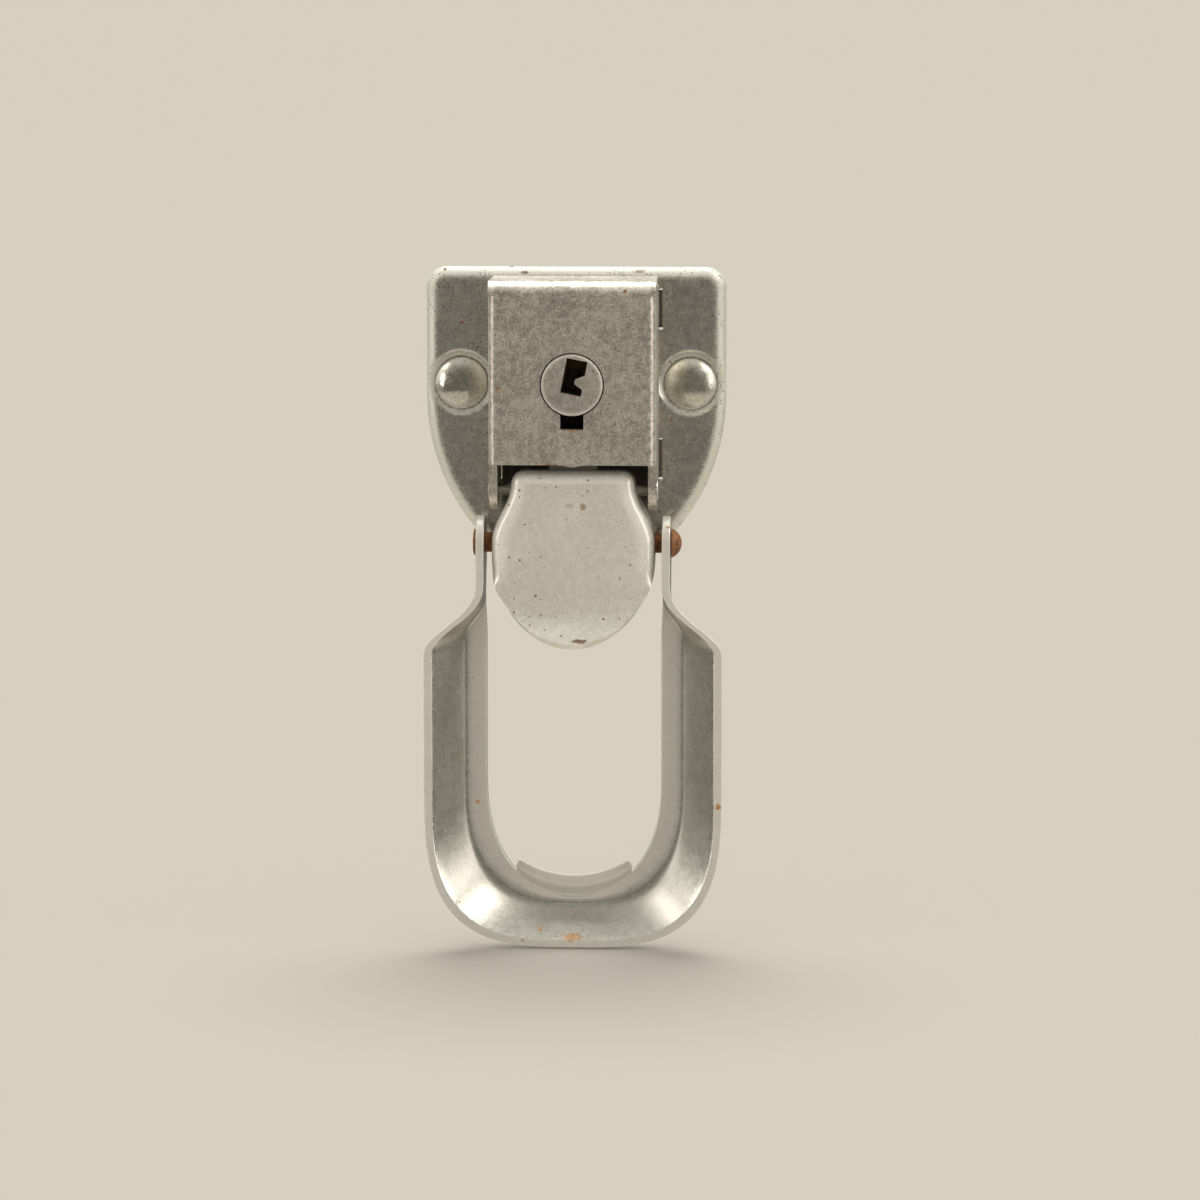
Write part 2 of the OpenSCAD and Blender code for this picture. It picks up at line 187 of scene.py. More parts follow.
def cutOut(piece, name, outline, fromHeight, toHeight):
    # punches a hole: the outline, drawn in x and z, between two heights
    outline = np.array(outline, float)
    heights = np.array([fromHeight, toHeight])[:, None]
    punch = buildMesh(name, [(surface(outline[None, :, 0], heights, outline[None, :, 1]),
                              True, None)], closed=True)
    cut = piece.modifiers.new(name, "BOOLEAN")
    cut.operation = "DIFFERENCE"
    cut.solver = "EXACT"
    cut.object = punch
    return punch


def easeEdges(piece, width):
    # rounds off the edges where the surface turns by more than 40 degrees
    bevel = piece.modifiers.new("edges", "BEVEL")
    bevel.width = width * mm
    bevel.segments = 2
    bevel.limit_method = "ANGLE"
    bevel.angle_limit = np.radians(40)
    bevel.harden_normals = True


def applyAll(piece, punches=()):
    # fixes the modifiers into the mesh, then takes the punches away
    depsgraph = bpy.context.evaluated_depsgraph_get()
    finished = bpy.data.meshes.new_from_object(piece.evaluated_get(depsgraph))
    finished.name = piece.name
    piece.modifiers.clear()
    piece.data = finished
    for punch in punches:
        bpy.data.objects.remove(punch)
    return piece


def clearShadeBehind(piece, height):
    # takes the painted shade off whatever lies behind a height, such as the back of a sheet
    points = np.empty(len(piece.data.vertices) * 3, np.float32)
    piece.data.vertices.foreach_get("co", points)
    wearAndLight = np.empty(len(points) // 3, np.float32)
    marks = piece.data.attributes["wearAndLight"].data
    marks.foreach_get("value", wearAndLight)
    marks.foreach_set("value", np.where(points[1::3] > -height * mm, np.maximum(wearAndLight, 0), wearAndLight))
    return piece


def ringLoop(corners, radii, bends=4, runs=3):
    # Sections as closed loops: each corner becomes a short curve, p + r * (way to its
    # neighbour) blended through the corner, and straight runs join the curves.
    before = np.roll(corners, 1, axis=1) - corners
    after = np.roll(corners, -1, axis=1) - corners
    reachBefore = np.linalg.norm(before, axis=2, keepdims=True)
    reachAfter = np.linalg.norm(after, axis=2, keepdims=True)
    entry = corners + before * np.minimum(radii / np.maximum(reachBefore, 1e-6), 0.45)
    leave = corners + after * np.minimum(radii / np.maximum(reachAfter, 1e-6), 0.45)
    loops = []
    for k in range(corners.shape[1]):
        p, q, r = entry[:, k, None], corners[:, k, None], leave[:, k, None]
        t = np.linspace(0, 1, bends)[None, :, None]
        loops.append((1 - t) ** 2 * p + 2 * t * (1 - t) * q + t ** 2 * r)
        s = np.linspace(0, 1, runs + 2)[None, 1:-1, None]
        loops.append(r * (1 - s) + entry[:, (k + 1) % corners.shape[1], None] * s)
    return np.concatenate(loops, axis=1)


def turned(radii, along, centre, axis, wearAndLight=0.0, sides=40):
    # a lathe shape: radius r at distance t along the axis, swept round the full circle
    radii, along = np.array(radii, float), np.array(along, float)
    turn = np.linspace(0, 2 * np.pi, sides, endpoint=False)[None, :]
    across = radii[:, None] * np.cos(turn)
    up = radii[:, None] * np.sin(turn)
    run = along[:, None] + 0 * turn
    if axis == "x":
        return surface(centre[0] + run, centre[1] + across, centre[2] + up,
                       np.array(wearAndLight)[..., None] + 0 * turn)
    return surface(centre[0] + across, centre[1] + run, centre[2] + up,
                   np.array(wearAndLight)[..., None] + 0 * turn)


def node(tree, kind, inputs=None, **settings):
    # adds a node; an input is given a value or linked from another node's output
    made = tree.nodes.new(kind)
    for key, value in settings.items():
        setattr(made, key, value)
    for key, value in (inputs or {}).items():
        if isinstance(value, bpy.types.NodeSocket):
            tree.links.new(value, made.inputs[key])
        else:
            made.inputs[key].default_value = value
    return made


def mathNode(tree, operation, *values, clamp=False):
    return node(tree, "ShaderNodeMath", dict(enumerate(values)), operation=operation,
                use_clamp=clamp).outputs[0]


def mixColours(tree, factor, first, second):
    made = node(tree, "ShaderNodeMix", {0: factor, 6: first, 7: second}, data_type="RGBA")
    return made.outputs[2]


def rampBetween(tree, value, low, high):
    # 0 at low and 1 at high, eased at both ends
    made = node(tree, "ShaderNodeMapRange", {"Value": value, "From Min": low, "From Max": high},
                interpolation_type="SMOOTHSTEP")
    return made.outputs[0]


def startGroup(name, inputs, outputs):
    group = bpy.data.node_groups.new(name, "ShaderNodeTree")
    for label, value in inputs.items():
        kind = "NodeSocketVector" if isinstance(value, tuple) else "NodeSocketFloat"
        socket = group.interface.new_socket(label, in_out="INPUT", socket_type=kind)
        socket.default_value = value
    for label in outputs:
        group.interface.new_socket(label, in_out="OUTPUT", socket_type="NodeSocketFloat")
    return group, group.nodes.new("NodeGroupInput").outputs, group.nodes.new("NodeGroupOutput")


def makeGrainGroup():
    # mottled satin: a fine and a coarser noise, as one shade and one height, and the
    # blotches a few millimetres wide in which the plating has gone dull
    tree, given, result = startGroup("satinGrain", {"Vector": (0, 0, 0), "Grain": 3200.0},
                                     ["Shade", "Height", "Blotch"])
    fine = node(tree, "ShaderNodeTexNoise", {"Vector": given["Vector"], "Scale": given["Grain"],
                                             "Detail": 2.0, "Roughness": 0.6})
    coarse = node(tree, "ShaderNodeTexNoise", {
        "Vector": given["Vector"], "Scale": mathNode(tree, "MULTIPLY", given["Grain"], 0.3),
        "Detail": 3.0, "Roughness": 0.65})
    broad = node(tree, "ShaderNodeTexNoise", {
        "Vector": given["Vector"], "Scale": mathNode(tree, "MULTIPLY", given["Grain"], 0.05),
        "Detail": 4.0, "Roughness": 0.6})
    mixed = mathNode(tree, "ADD", mathNode(tree, "MULTIPLY", fine.outputs[0], 0.45),
                     mathNode(tree, "MULTIPLY", coarse.outputs[0], 0.35))
    mixed = mathNode(tree, "ADD", mixed, mathNode(tree, "MULTIPLY", broad.outputs[0], 0.2))
    tree.links.new(rampBetween(tree, mixed, 0.36, 0.64), result.inputs["Shade"])
    tree.links.new(mixed, result.inputs["Height"])
    tree.links.new(rampBetween(tree, broad.outputs[0], 0.44, 0.62), result.inputs["Blotch"])
    return tree


def makeSpeckGroup():
    # scattered spots: cells of a Voronoi pattern, each with its own radius, ragged by noise
    tree, given, result = startGroup("specks", {"Vector": (0, 0, 0), "Scale": 500.0,
                                                "Size": 0.3, "Rarity": 4.0}, ["Mask"])
    ragged = node(tree, "ShaderNodeTexNoise", {
        "Vector": given["Vector"], "Scale": mathNode(tree, "MULTIPLY", given["Scale"], 5.0),
        "Detail": 2.0})
    cells = node(tree, "ShaderNodeTexVoronoi", {"Vector": given["Vector"],
                                                "Scale": given["Scale"]})
    chance = node(tree, "ShaderNodeSeparateColor", {"Color": cells.outputs["Color"]})
    radius = mathNode(tree, "MULTIPLY", given["Size"],
                      mathNode(tree, "POWER", chance.outputs[0], given["Rarity"]))
    wobble = mathNode(tree, "MULTIPLY", mathNode(tree, "SUBTRACT", ragged.outputs[0], 0.5), 0.35)
    reach = mathNode(tree, "ADD", cells.outputs["Distance"], wobble)
    inside = mathNode(tree, "SUBTRACT", radius, reach)
    tree.links.new(rampBetween(tree, inside, -0.03, 0.06), result.inputs["Mask"])
    return tree


def makeScratchGroup():
    # long hair scratches: thin crossings of a noise that is stretched one way
    tree, given, result = startGroup("hairScratches", {"Vector": (0, 0, 0), "Scale": 120.0},
                                     ["Mask"])
    masks = []
    for turn, stretch in ((0.5, (1, 1, 9)), (-0.7, (9, 1, 1)), (1.3, (1, 1, 12))):
        way = node(tree, "ShaderNodeMapping", {"Vector": given["Vector"],
                                               "Rotation": (0, turn, 0), "Scale": stretch})
        noise = node(tree, "ShaderNodeTexNoise", {"Vector": way.outputs[0],
                                                  "Scale": given["Scale"], "Detail": 2.0})
        offset = mathNode(tree, "ABSOLUTE", mathNode(tree, "SUBTRACT", noise.outputs[0], 0.7))
        masks.append(rampBetween(tree, offset, 0.008, 0.0))
    both = mathNode(tree, "MAXIMUM", mathNode(tree, "MAXIMUM", masks[0], masks[1]), masks[2])
    tree.links.new(both, result.inputs["Mask"])
    return tree


def makeStainGroup():
    # one ragged stain round a given point, longer one way than the other
    tree, given, result = startGroup("stain", {"Vector": (0, 0, 0), "Centre": (0, 0, 0),
                                               "Spread": (1, 1, 1), "Radius": 0.001,
                                               "Ragged": 0.5}, ["Mask"])
    away = node(tree, "ShaderNodeVectorMath", {0: given["Vector"], 1: given["Centre"]},
                operation="SUBTRACT")
    shaped = node(tree, "ShaderNodeVectorMath", {0: away.outputs[0], 1: given["Spread"]},
                  operation="DIVIDE")
    distance = node(tree, "ShaderNodeVectorMath", {0: shaped.outputs[0]}, operation="LENGTH")
    ragged = node(tree, "ShaderNodeTexNoise", {"Vector": given["Vector"], "Scale": 1400.0,
                                               "Detail": 4.0, "Roughness": 0.7})
    share = mathNode(tree, "DIVIDE", distance.outputs["Value"], given["Radius"])
    rough = mathNode(tree, "MULTIPLY", mathNode(tree, "SUBTRACT", ragged.outputs[0], 0.5),
                     mathNode(tree, "MULTIPLY", given["Ragged"], 4.0))
    tree.links.new(rampBetween(tree, mathNode(tree, "ADD", share, rough), 1.0, 0.55),
                   result.inputs["Mask"])
    return tree


scratchTone, pitTone = (0.30, 0.28, 0.25), (0.07, 0.06, 0.05)
# the colour of painted shade
paintedShadeTone = (0.035, 0.028, 0.02)
grainGroup = makeGrainGroup()
speckGroup = makeSpeckGroup()
scratchGroup = makeScratchGroup()
stainGroup = makeStainGroup()


def groupNode(tree, group, inputs):
    return node(tree, "ShaderNodeGroup", inputs, node_tree=group)


def platedFinish(name, look):
    # Worn plating: mottled grain, hair scratches, dark pits, rust specks and stains, brighter
    # metal where the point attribute is above zero, as worn edges and painted highlights, and
    # painted shade where it is below zero.
    material = bpy.data.materials.new(name)
    material.use_nodes = True
    tree = material.node_tree
    shader = tree.nodes["Principled BSDF"]
    shader.inputs["Coat Weight"].default_value = look["coat"]
    shader.inputs["Coat Roughness"].default_value = 0.16
    place = node(tree, "ShaderNodeTexCoord").outputs["Object"]
    grain = groupNode(tree, grainGroup, {"Vector": place, "Grain": look["grain"]})
    pits = groupNode(tree, speckGroup, {"Vector": place, "Scale": look["pitScale"],
                                        "Size": look["pitSize"], "Rarity": 3.0}).outputs[0]
    rust = groupNode(tree, speckGroup, {"Vector": place, "Scale": look["rustScale"],
                                        "Size": look["rustSize"], "Rarity": 5.0}).outputs[0]
    scratch = groupNode(tree, scratchGroup, {"Vector": place}).outputs[0]
    wornAndLit = node(tree, "ShaderNodeAttribute", attribute_name="wearAndLight").outputs["Fac"]
    for stain in look.get("stains", []):
        mark = groupNode(tree, stainGroup, {"Vector": place, "Centre": stain["at"],
                                            "Spread": stain["spread"],
                                            "Radius": stain["radius"],
                                            "Ragged": stain["ragged"]}).outputs[0]
        rust = mathNode(tree, "MAXIMUM", rust, mathNode(tree, "MULTIPLY", mark, stain["depth"]))
    # above zero: worn edges and painted highlights; below zero: painted shade
    rubbedAndLit = mathNode(tree, "MAXIMUM", wornAndLit, 0.0)
    paintedShade = mathNode(tree, "MULTIPLY", mathNode(tree, "MINIMUM", wornAndLit, 0.0), -1.0)
    if "shadeBelow" in look:
        # painted shade darkens everything deeper than a height in front of the panel
        depth = node(tree, "ShaderNodeSeparateXYZ", {"Vector": place}).outputs["Y"]
        keywayShade = rampBetween(tree, depth, -look["shadeBelow"] * mm, (0.5 - look["shadeBelow"]) * mm)
        paintedShade = mathNode(tree, "MAXIMUM", paintedShade, mathNode(tree, "MULTIPLY", keywayShade, 0.93))
    patch = mathNode(tree, "MULTIPLY", grain.outputs["Blotch"], look["blotch"])
    pits = mathNode(tree, "MULTIPLY", pits, mathNode(tree, "ADD", 0.15, patch, clamp=True))
    colour = mixColours(tree, grain.outputs["Shade"], (*look["dark"], 1), (*look["light"], 1))
    for mask, share, tone in ((patch, 0.35, look["dark"]), (rubbedAndLit, look["wornAndLitShare"], look["wornAndLit"]),
                              (scratch, look["scratchShare"], scratchTone),
                              (pits, look["pitShare"], pitTone)):
        colour = mixColours(tree, mathNode(tree, "MULTIPLY", mask, share), colour, (*tone, 1))
    colour = mixColours(tree, paintedShade, colour, (*paintedShadeTone, 1))
    rustTone = mixColours(tree, grain.outputs["Shade"], (*look["rustDark"], 1),
                          (*look["rust"], 1))
    colour = mixColours(tree, rust, colour, rustTone)
    roughness = look["rough"]
    for mask, amount in ((grain.outputs["Shade"], look["roughSpan"]), (patch, 0.10),
                         (rubbedAndLit, look["wornAndLitRough"])):
        roughness = mathNode(tree, "ADD", roughness, mathNode(tree, "MULTIPLY", mask, amount))
    dull = mathNode(tree, "MAXIMUM", rust, paintedShade)
    roughness = mathNode(tree, "ADD", roughness, mathNode(tree, "MULTIPLY", dull, 0.35),
                         clamp=True)
    height = mathNode(tree, "MULTIPLY", grain.outputs["Height"], look["grainDepth"])
    height = mathNode(tree, "SUBTRACT", height, mathNode(tree, "MULTIPLY", pits, 0.6))
    height = mathNode(tree, "ADD", height, mathNode(tree, "MULTIPLY", rust, 0.5))
    bump = node(tree, "ShaderNodeBump", {"Height": height, "Strength": look["bump"],
                                         "Distance": 0.00006})
    metallic = mathNode(tree, "MULTIPLY", look["metal"], mathNode(
        tree, "SUBTRACT", 1.0, mathNode(tree, "MULTIPLY", rubbedAndLit, look["wornAndLitMatt"])))
    metallic = mathNode(tree, "MULTIPLY", metallic, mathNode(tree, "SUBTRACT", 1.0, dull),
                        clamp=True)
    for key, value in (("Base Color", colour), ("Roughness", roughness),
                       ("Metallic", metallic), ("Normal", bump.outputs[0])):
        tree.links.new(value, shader.inputs[key])
    return material


plainPlating = {"grain": 3200.0, "grainDepth": 0.35, "bump": 0.35, "metal": 1.0, "coat": 0.0,
                "dark": (0.46, 0.44, 0.37), "light": (0.68, 0.66, 0.58),
                "wornAndLit": (0.90, 0.88, 0.80), "wornAndLitShare": 0.7, "wornAndLitRough": 0.22,
                "wornAndLitMatt": 0.35, "scratchShare": 0.12, "blotch": 0.6,
                "rough": 0.22, "roughSpan": 0.10, "pitScale": 1900.0, "pitSize": 0.42,
                "pitShare": 0.6, "rust": (0.36, 0.15, 0.05), "rustDark": (0.10, 0.035, 0.015),
                "rustScale": 420.0, "rustSize": 0.20}


def spot(x, h, z, radius, depth=0.9, wide=1.0, tall=1.0, ragged=0.5):
    # a stain's settings, from millimetres
    return {"at": (x * mm, -h * mm, z * mm), "spread": (wide, 1.0, tall),
            "radius": radius * mm, "depth": depth, "ragged": ragged}


finishes = {
    "plate_nickel": {"dark": (0.40, 0.38, 0.33), "light": (0.68, 0.66, 0.60),
                     "metal": 0.88, "rough": 0.16, "roughSpan": 0.12, "pitScale": 3000.0,
                     "pitSize": 0.58, "blotch": 1.0, "wornAndLitRough": 0.24, "wornAndLitMatt": 0.75,
                     "wornAndLit": (0.84, 0.84, 0.75), "wornAndLitShare": 0.9,
                     "stains": [spot(12.3, 2.4, -9.0, 0.5, 0.9, 0.7, 1.6),
                                spot(-7.5, 2.0, 16.2, 0.5, 0.8, 1.6, 0.6),
                                spot(9.2, 2.0, 16.4, 0.6, 0.6, 1.8, 0.5)]},
    "case_nickel": {"dark": (0.42, 0.38, 0.32), "light": (0.86, 0.81, 0.72),
                    "grain": 3400.0, "rough": 0.34, "roughSpan": 0.14, "bump": 0.7,
                    "metal": 0.80, "rustSize": 0.19, "rustScale": 520.0, "blotch": 0.8,
                    "pitShare": 0.45, "wornAndLitRough": 0.0, "rust": (0.42, 0.20, 0.08),
                    "stains": [spot(-10.7, 13.5, 0.2, 0.5, 0.75, 1.2, 0.9),
                               spot(-1.1, 13.5, -8.1, 0.2, 0.8),
                               spot(0.0, 12.9, -5.8, 1.0, 0.8, 2.2, 0.35),
                               spot(4.6, 13.4, -1.6, 0.5, 0.5, 0.6, 1.6),
                               spot(-3.0, 13.2, -10.9, 1.0, 0.7, 3.2, 0.25)]},
    "lever_nickel": {"dark": (0.80, 0.77, 0.69), "light": (0.98, 0.96, 0.90),
                     "metal": 0.36, "coat": 0.8, "grain": 3800.0, "rough": 0.34,
                     "roughSpan": 0.12, "bump": 0.5,
                     "rustScale": 1300.0, "rustSize": 0.27, "scratchShare": 0.0,
                     "pitShare": 0.4, "pitSize": 0.34, "pitScale": 1500.0, "blotch": 0.3,
                     "rust": (0.42, 0.24, 0.12), "rustDark": (0.16, 0.07, 0.04),
                     "wornAndLit": (0.98, 0.97, 0.92),
                     "stains": [spot(1.6, 12.1, -17.1, 0.55, 0.8, 1.0, 1.2),
                                spot(-0.4, 12.1, -17.0, 0.6, 0.4, 1.2, 0.8),
                                spot(1.2, 15.1, -36.5, 0.75, 1.0, 1.9, 0.5, 0.35)]},
    "bail_nickel": {"dark": (0.52, 0.50, 0.44), "light": (0.68, 0.66, 0.59),
                    "rough": 0.24, "roughSpan": 0.08, "bump": 0.2, "pitSize": 0.34,
                    "wornAndLitRough": 0.12, "wornAndLitMatt": 0.7, "blotch": 0.12, "pitShare": 0.4,
                    "wornAndLit": (0.97, 0.94, 0.88), "scratchShare": 0.08,
                    "stains": [spot(0.0, 11.6, -80.9, 0.8, 0.75, 2.4, 0.9)],
                    "rust": (0.80, 0.46, 0.20), "rustDark": (0.42, 0.20, 0.07)},
    "rivet_nickel": {"dark": (0.36, 0.35, 0.27), "light": (0.66, 0.64, 0.58), "rough": 0.10,
                     "roughSpan": 0.12, "rustSize": 0.08, "bump": 0.3, "blotch": 1.0},
    "plug_nickel": {"dark": (0.56, 0.51, 0.44), "light": (0.82, 0.77, 0.69), "rough": 0.28,
                    "roughSpan": 0.12, "grain": 3600.0, "bump": 0.5, "metal": 0.8,
                    # painted shade inside the keyway, below the plug's face
                    "shadeBelow": 13.1},
    "zinc": {"dark": (0.035, 0.033, 0.03), "light": (0.09, 0.085, 0.08), "rough": 0.5,
             "roughSpan": 0.2, "grain": 1800.0, "metal": 0.4},
    "plain_steel": {"dark": (0.05, 0.045, 0.04), "light": (0.14, 0.13, 0.12), "rough": 0.36,
                    "roughSpan": 0.15},
    # painted shade: the wafers are made nearly black, as they sit deep in the dark keyway
    "wafer_brass": {"dark": (0.015, 0.01, 0.006), "light": (0.06, 0.042, 0.018), "rough": 0.36,
                    "roughSpan": 0.16, "pitShare": 0.5},
    "spring_steel": {"dark": (0.60, 0.59, 0.55), "light": (0.80, 0.79, 0.74), "rough": 0.18,
                     "roughSpan": 0.08, "pitShare": 0.3},
    "rusty_steel": {"dark": (0.16, 0.07, 0.03), "light": (0.50, 0.22, 0.09), "metal": 0.3,
                    "rough": 0.5, "roughSpan": 0.25, "grain": 1500.0, "bump": 1.0,
                    "rustScale": 900.0, "rustSize": 0.75, "wornAndLitShare": 0.0,
                    "rust": (0.50, 0.20, 0.07), "rustDark": (0.14, 0.05, 0.02)},
}


def finishPiece(piece, slotName, body, *nodes):
    # dresses a piece, puts it on its body and lets it stand for its CAD nodes
    piece.data.materials.clear()
    piece.data.materials.append(finished[slotName])
    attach(piece, body)
    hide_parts(*nodes)
    print("made", piece.name)


front = (0, -1, 0)


plateShape = {"sheet": 1.2, "rim": 1.6, "roll": 2.3, "corner": 3.0, "sweep": 30.5,
              "shoulder": -2.0, "footCorner": 2.5, "dimple": 5.1, "dimpleFloor": 3.85,
              "dimpleDepth": 0.75, "slotSpans": ((7.9, 14.0), (-14.2, -8.0)),
              "slotInner": 10.9, "slotOuter": 12.78, "slotDepth": (-1, 4), "edge": 0.16,
              "spine": (-9, 7), "paleRim": (0.32, 2.9, 3.2), "paleDimple": (0.6, 0.75),
              "rivetGapShade": (3.6, 4.15), "caseShade": 0.94, "caseHalf": (10.6, 11.4),
              "caseFoot": (-19.5, -17), "caseTop": 14, "shadeBack": 2.1}


def plateOutline(shape, box):
    # half of the tray's outline: top edge, corner, side, long sweep, foot corner, foot
    half, top, foot = box["right"], box["top"], box["foot"]
    r, big, small = shape["corner"], shape["sweep"], shape["footCorner"]
    hub = (half - big, shape["shoulder"])
    drop = shape["shoulder"] - (foot + small)
    turn = -np.degrees(np.arcsin(drop / (big - small)))
    knee = (hub[0] + (big - small) * np.cos(np.radians(turn)), foot + small)
    return closedByMirror(*joinParts([
        straight((0, top), (half - r, top)),
        arc((half - r, top - r), r, 90, 0),
        straight((half, top - r), (half, shape["shoulder"]), 0.3),
        arc(hub, big, 0, turn, 1.0),
        arc(knee, small, turn, -90, 6),
        straight((knee[0], foot), (0, foot), 0.8)]))


def makePlate(shape):
    # A tray: its rim profile is carried round the outline, then lines run in to a spine.
    # Heights are the face less the rolled rim's drop and the two dimples.
    box = limits("base_plate")
    rivetX = limits("mounting_rivet_right")
    rivetX = (rivetX["left"] + rivetX["right"]) / 2
    points, normals = plateOutline(shape, box)
    turn = np.radians(np.linspace(0, 90, 9))
    inset = np.concatenate([[0, 0], shape["roll"] * (1 - np.cos(turn))])
    drop = np.concatenate([[box["front"], (box["front"] + shape["rim"]) / 2],
                           shape["rim"] * (1 - np.sin(turn))])
    rim = points[None] - inset[:, None, None] * normals[None]
    spine = np.stack([0 * points[:, 0], np.clip(points[:, 1], *shape["spine"])], -1)
    share = np.concatenate([np.linspace(0, 0.46, 44)[1:], np.linspace(0.46, 1, 9)[1:]])
    inner = rim[-1] + share[:, None, None] * (spine - rim[-1])
    x, z = np.moveaxis(np.concatenate([rim, inner]), -1, 0)
    drop = np.concatenate([drop, 0 * share])[:, None]
    away = np.hypot(np.abs(x) - rivetX, z)
    dimple = shape["dimpleDepth"] * smoothStep(shape["dimple"], shape["dimpleFloor"], away)
    h = box["front"] - drop - dimple * (1 - drop / box["front"]) ** 0.5
    # painted highlights: the rolled rim and the dimples' walls are made pale
    begin, full, gone = shape["paleRim"]
    wearAndLight = smoothStep(0.0, begin, drop) * smoothStep(gone, full, drop)
    deep, pale = shape["paleDimple"]
    wearAndLight = np.maximum(wearAndLight, pale * smoothStep(0.0, deep, dimple))
    # painted shade lies in the gap round each rivet and on the face under the case
    near, far = shape["rivetGapShade"]
    gap = smoothStep(far, near, away)
    wearAndLight = wearAndLight * (1 - gap) - gap
    near, far = shape["caseHalf"]
    covered = smoothStep(far, near, np.abs(x)) * smoothStep(*shape["caseFoot"], z)
    covered = covered * (z < shape["caseTop"])
    wearAndLight = wearAndLight * (1 - covered) - shape["caseShade"] * covered
    plate = buildMesh("plateShell", [(surface(x, h, z, wearAndLight), True, front)])
    addSheet(plate, shape["sheet"])
    punches = []
    for side in (-1, 1):
        for low, high in shape["slotSpans"]:
            xs = sorted((side * shape["slotInner"], side * shape["slotOuter"]))
            punches.append(cutOut(plate, "slot", [(xs[0], low), (xs[1], low),
                                                  (xs[1], high), (xs[0], high)],
                                  *shape["slotDepth"]))
    easeEdges(plate, shape["edge"])
    return clearShadeBehind(applyAll(plate, punches), shape["shadeBack"])


caseShape = {"sheet": 1.2, "half": 12.2, "bend": 1.3, "topBend": 2.1, "ear": 2.9,
             "earFront": 11.4, "earSlope": 0.56, "wallFront": 11.8, "bump": 0.28,
             "bumpHalf": 1.9, "bore": 4.68, "window": 1.7, "windowFoot": -5.7,
             "cutDepth": (10.5, 15), "flapHalf": 11.6, "flapTaper": 0.014, "flapHighlight": 0.2,
             "tabSpans": ((8.2, 13.7), (-13.9, -8.3)), "tabReach": 1.6, "tabTop": 1.2,
             "tabRoot": 2.1, "knee": 0.5, "foot": -10.9, "edge": 0.14}


def makeCase(shape):
    # Folded sheet: a section of wall, bend, face, bend and wall is carried up from a
    # trimmed lower edge, and a top flap bends back from the face. Ears, tabs and the
    # bump on the lower edge are in the trim.
    box = limits("lock_case")
    pinH, pinZ = pivotAt("lever_lift")
    plateH = limits("base_plate")["front"]
    half, faceH, bend = shape["half"], box["front"], shape["bend"]
    turn = np.radians(np.linspace(0, 90, 9))
    swing = np.radians(np.linspace(0, 90, 10))
    wallH = np.concatenate([np.linspace(plateH, pinH, 5)[:-1],
                            pinH + shape["ear"] * np.sin(swing),
                            [shape["earFront"] + 0.04, shape["wallFront"]]])
    faceX = np.linspace(-(half - bend), half - bend, 47)
    leftX = np.concatenate([-half + 0 * wallH, -half + bend * (1 - np.cos(turn[:-1]))])
    leftH = np.concatenate([wallH, faceH - bend + bend * np.sin(turn[:-1])])
    x = np.concatenate([leftX, faceX, -leftX[::-1]])
    h = np.concatenate([leftH, faceH + 0 * faceX, leftH[::-1]])
    inEar = np.sqrt(np.clip(shape["ear"] ** 2 - (h - pinH) ** 2, 0, None))
    earFoot = np.where(h < pinH, pinZ - shape["ear"] + (pinH - h) * shape["earSlope"],
                       pinZ - inEar)
    bump = shape["bump"] * 0.5 * (1 + np.cos(np.pi * np.clip(x / shape["bumpHalf"], -1, 1)))
    trim = np.where(h <= shape["earFront"] + 0.01, earFoot,
                    shape["foot"] - np.where(h > faceH - 0.01, bump, 0))
    flapBend = shape["topBend"]
    topZ = box["top"] - flapBend
    # behind the top bend's inner curve, the walls reach up to the flap
    ahead = np.clip(h - faceH + flapBend, 0, None)
    inCurve = np.sqrt(np.clip(flapBend ** 2 - ahead ** 2, 0, None))
    wallTop = topZ + np.clip(inCurve - shape["sheet"] - 0.02, 0, None)
    share = np.linspace(0, 1, 20)[:, None]
    z = trim + share * (wallTop - trim)
    # painted highlight along the side bends, just behind the face
    nearBend = smoothStep(0.2, 1.2, faceH - h) * smoothStep(1.8, 0.9, faceH - h)
    body = surface(x[None], h[None], z, nearBend[None])
    flapX = np.concatenate([[-half, -shape["flapHalf"]], faceX, [shape["flapHalf"], half]])
    flapZ = np.concatenate([topZ + flapBend * np.sin(turn), np.full(6, box["top"])])
    flapH = np.concatenate([faceH - flapBend * (1 - np.cos(turn)),
                            np.linspace(faceH - flapBend, plateH, 7)[1:]])
    taper = 1 - shape["flapTaper"] * smoothStep(faceH - 2, plateH, flapH)
    # painted highlight across the middle of the top bend
    flapHighlight = np.concatenate([shape["flapHighlight"] * np.sin(2 * turn), np.zeros(6)])
    flap = surface(flapX[None] * taper[:, None], flapH[:, None], flapZ[:, None],
                   flapHighlight[:, None])
    patches = [(body, False, front), (flap, False, (0, -1, 1))]
    elbow = np.radians(np.linspace(0, 90, 5))
    knee = shape["knee"]
    for side in (-1, 1):
        for low, high in shape["tabSpans"]:
            tabX = np.concatenate([[half, half], half + knee * (1 - np.cos(elbow)),
                                   [half + shape["tabReach"]]])
            tabH = np.concatenate([[plateH, shape["tabRoot"]],
                                   shape["tabTop"] + knee * (1 - np.sin(elbow)),
                                   [shape["tabTop"]]])
            span = np.linspace(low, high, 5)
            patches.append((surface(side * tabX[None], tabH[None], span[:, None]), False,
                            (side, -1, 0)))
    case = buildMesh("caseShell", patches)
    addSheet(case, shape["sheet"])
    plugZ = pivots["plug_turn"][2] / mm
    bore, _ = arc((0, plugZ), shape["bore"], 0, 360, 5)
    punches = [cutOut(case, "bore", bore[:-1], *shape["cutDepth"]),
               cutOut(case, "window", [(-shape["window"], shape["windowFoot"]),
                                       (shape["window"], shape["windowFoot"]),
                                       (shape["window"], plugZ), (-shape["window"], plugZ)],
                      *shape["cutDepth"])]
    easeEdges(case, shape["edge"])
    return applyAll(case, punches)


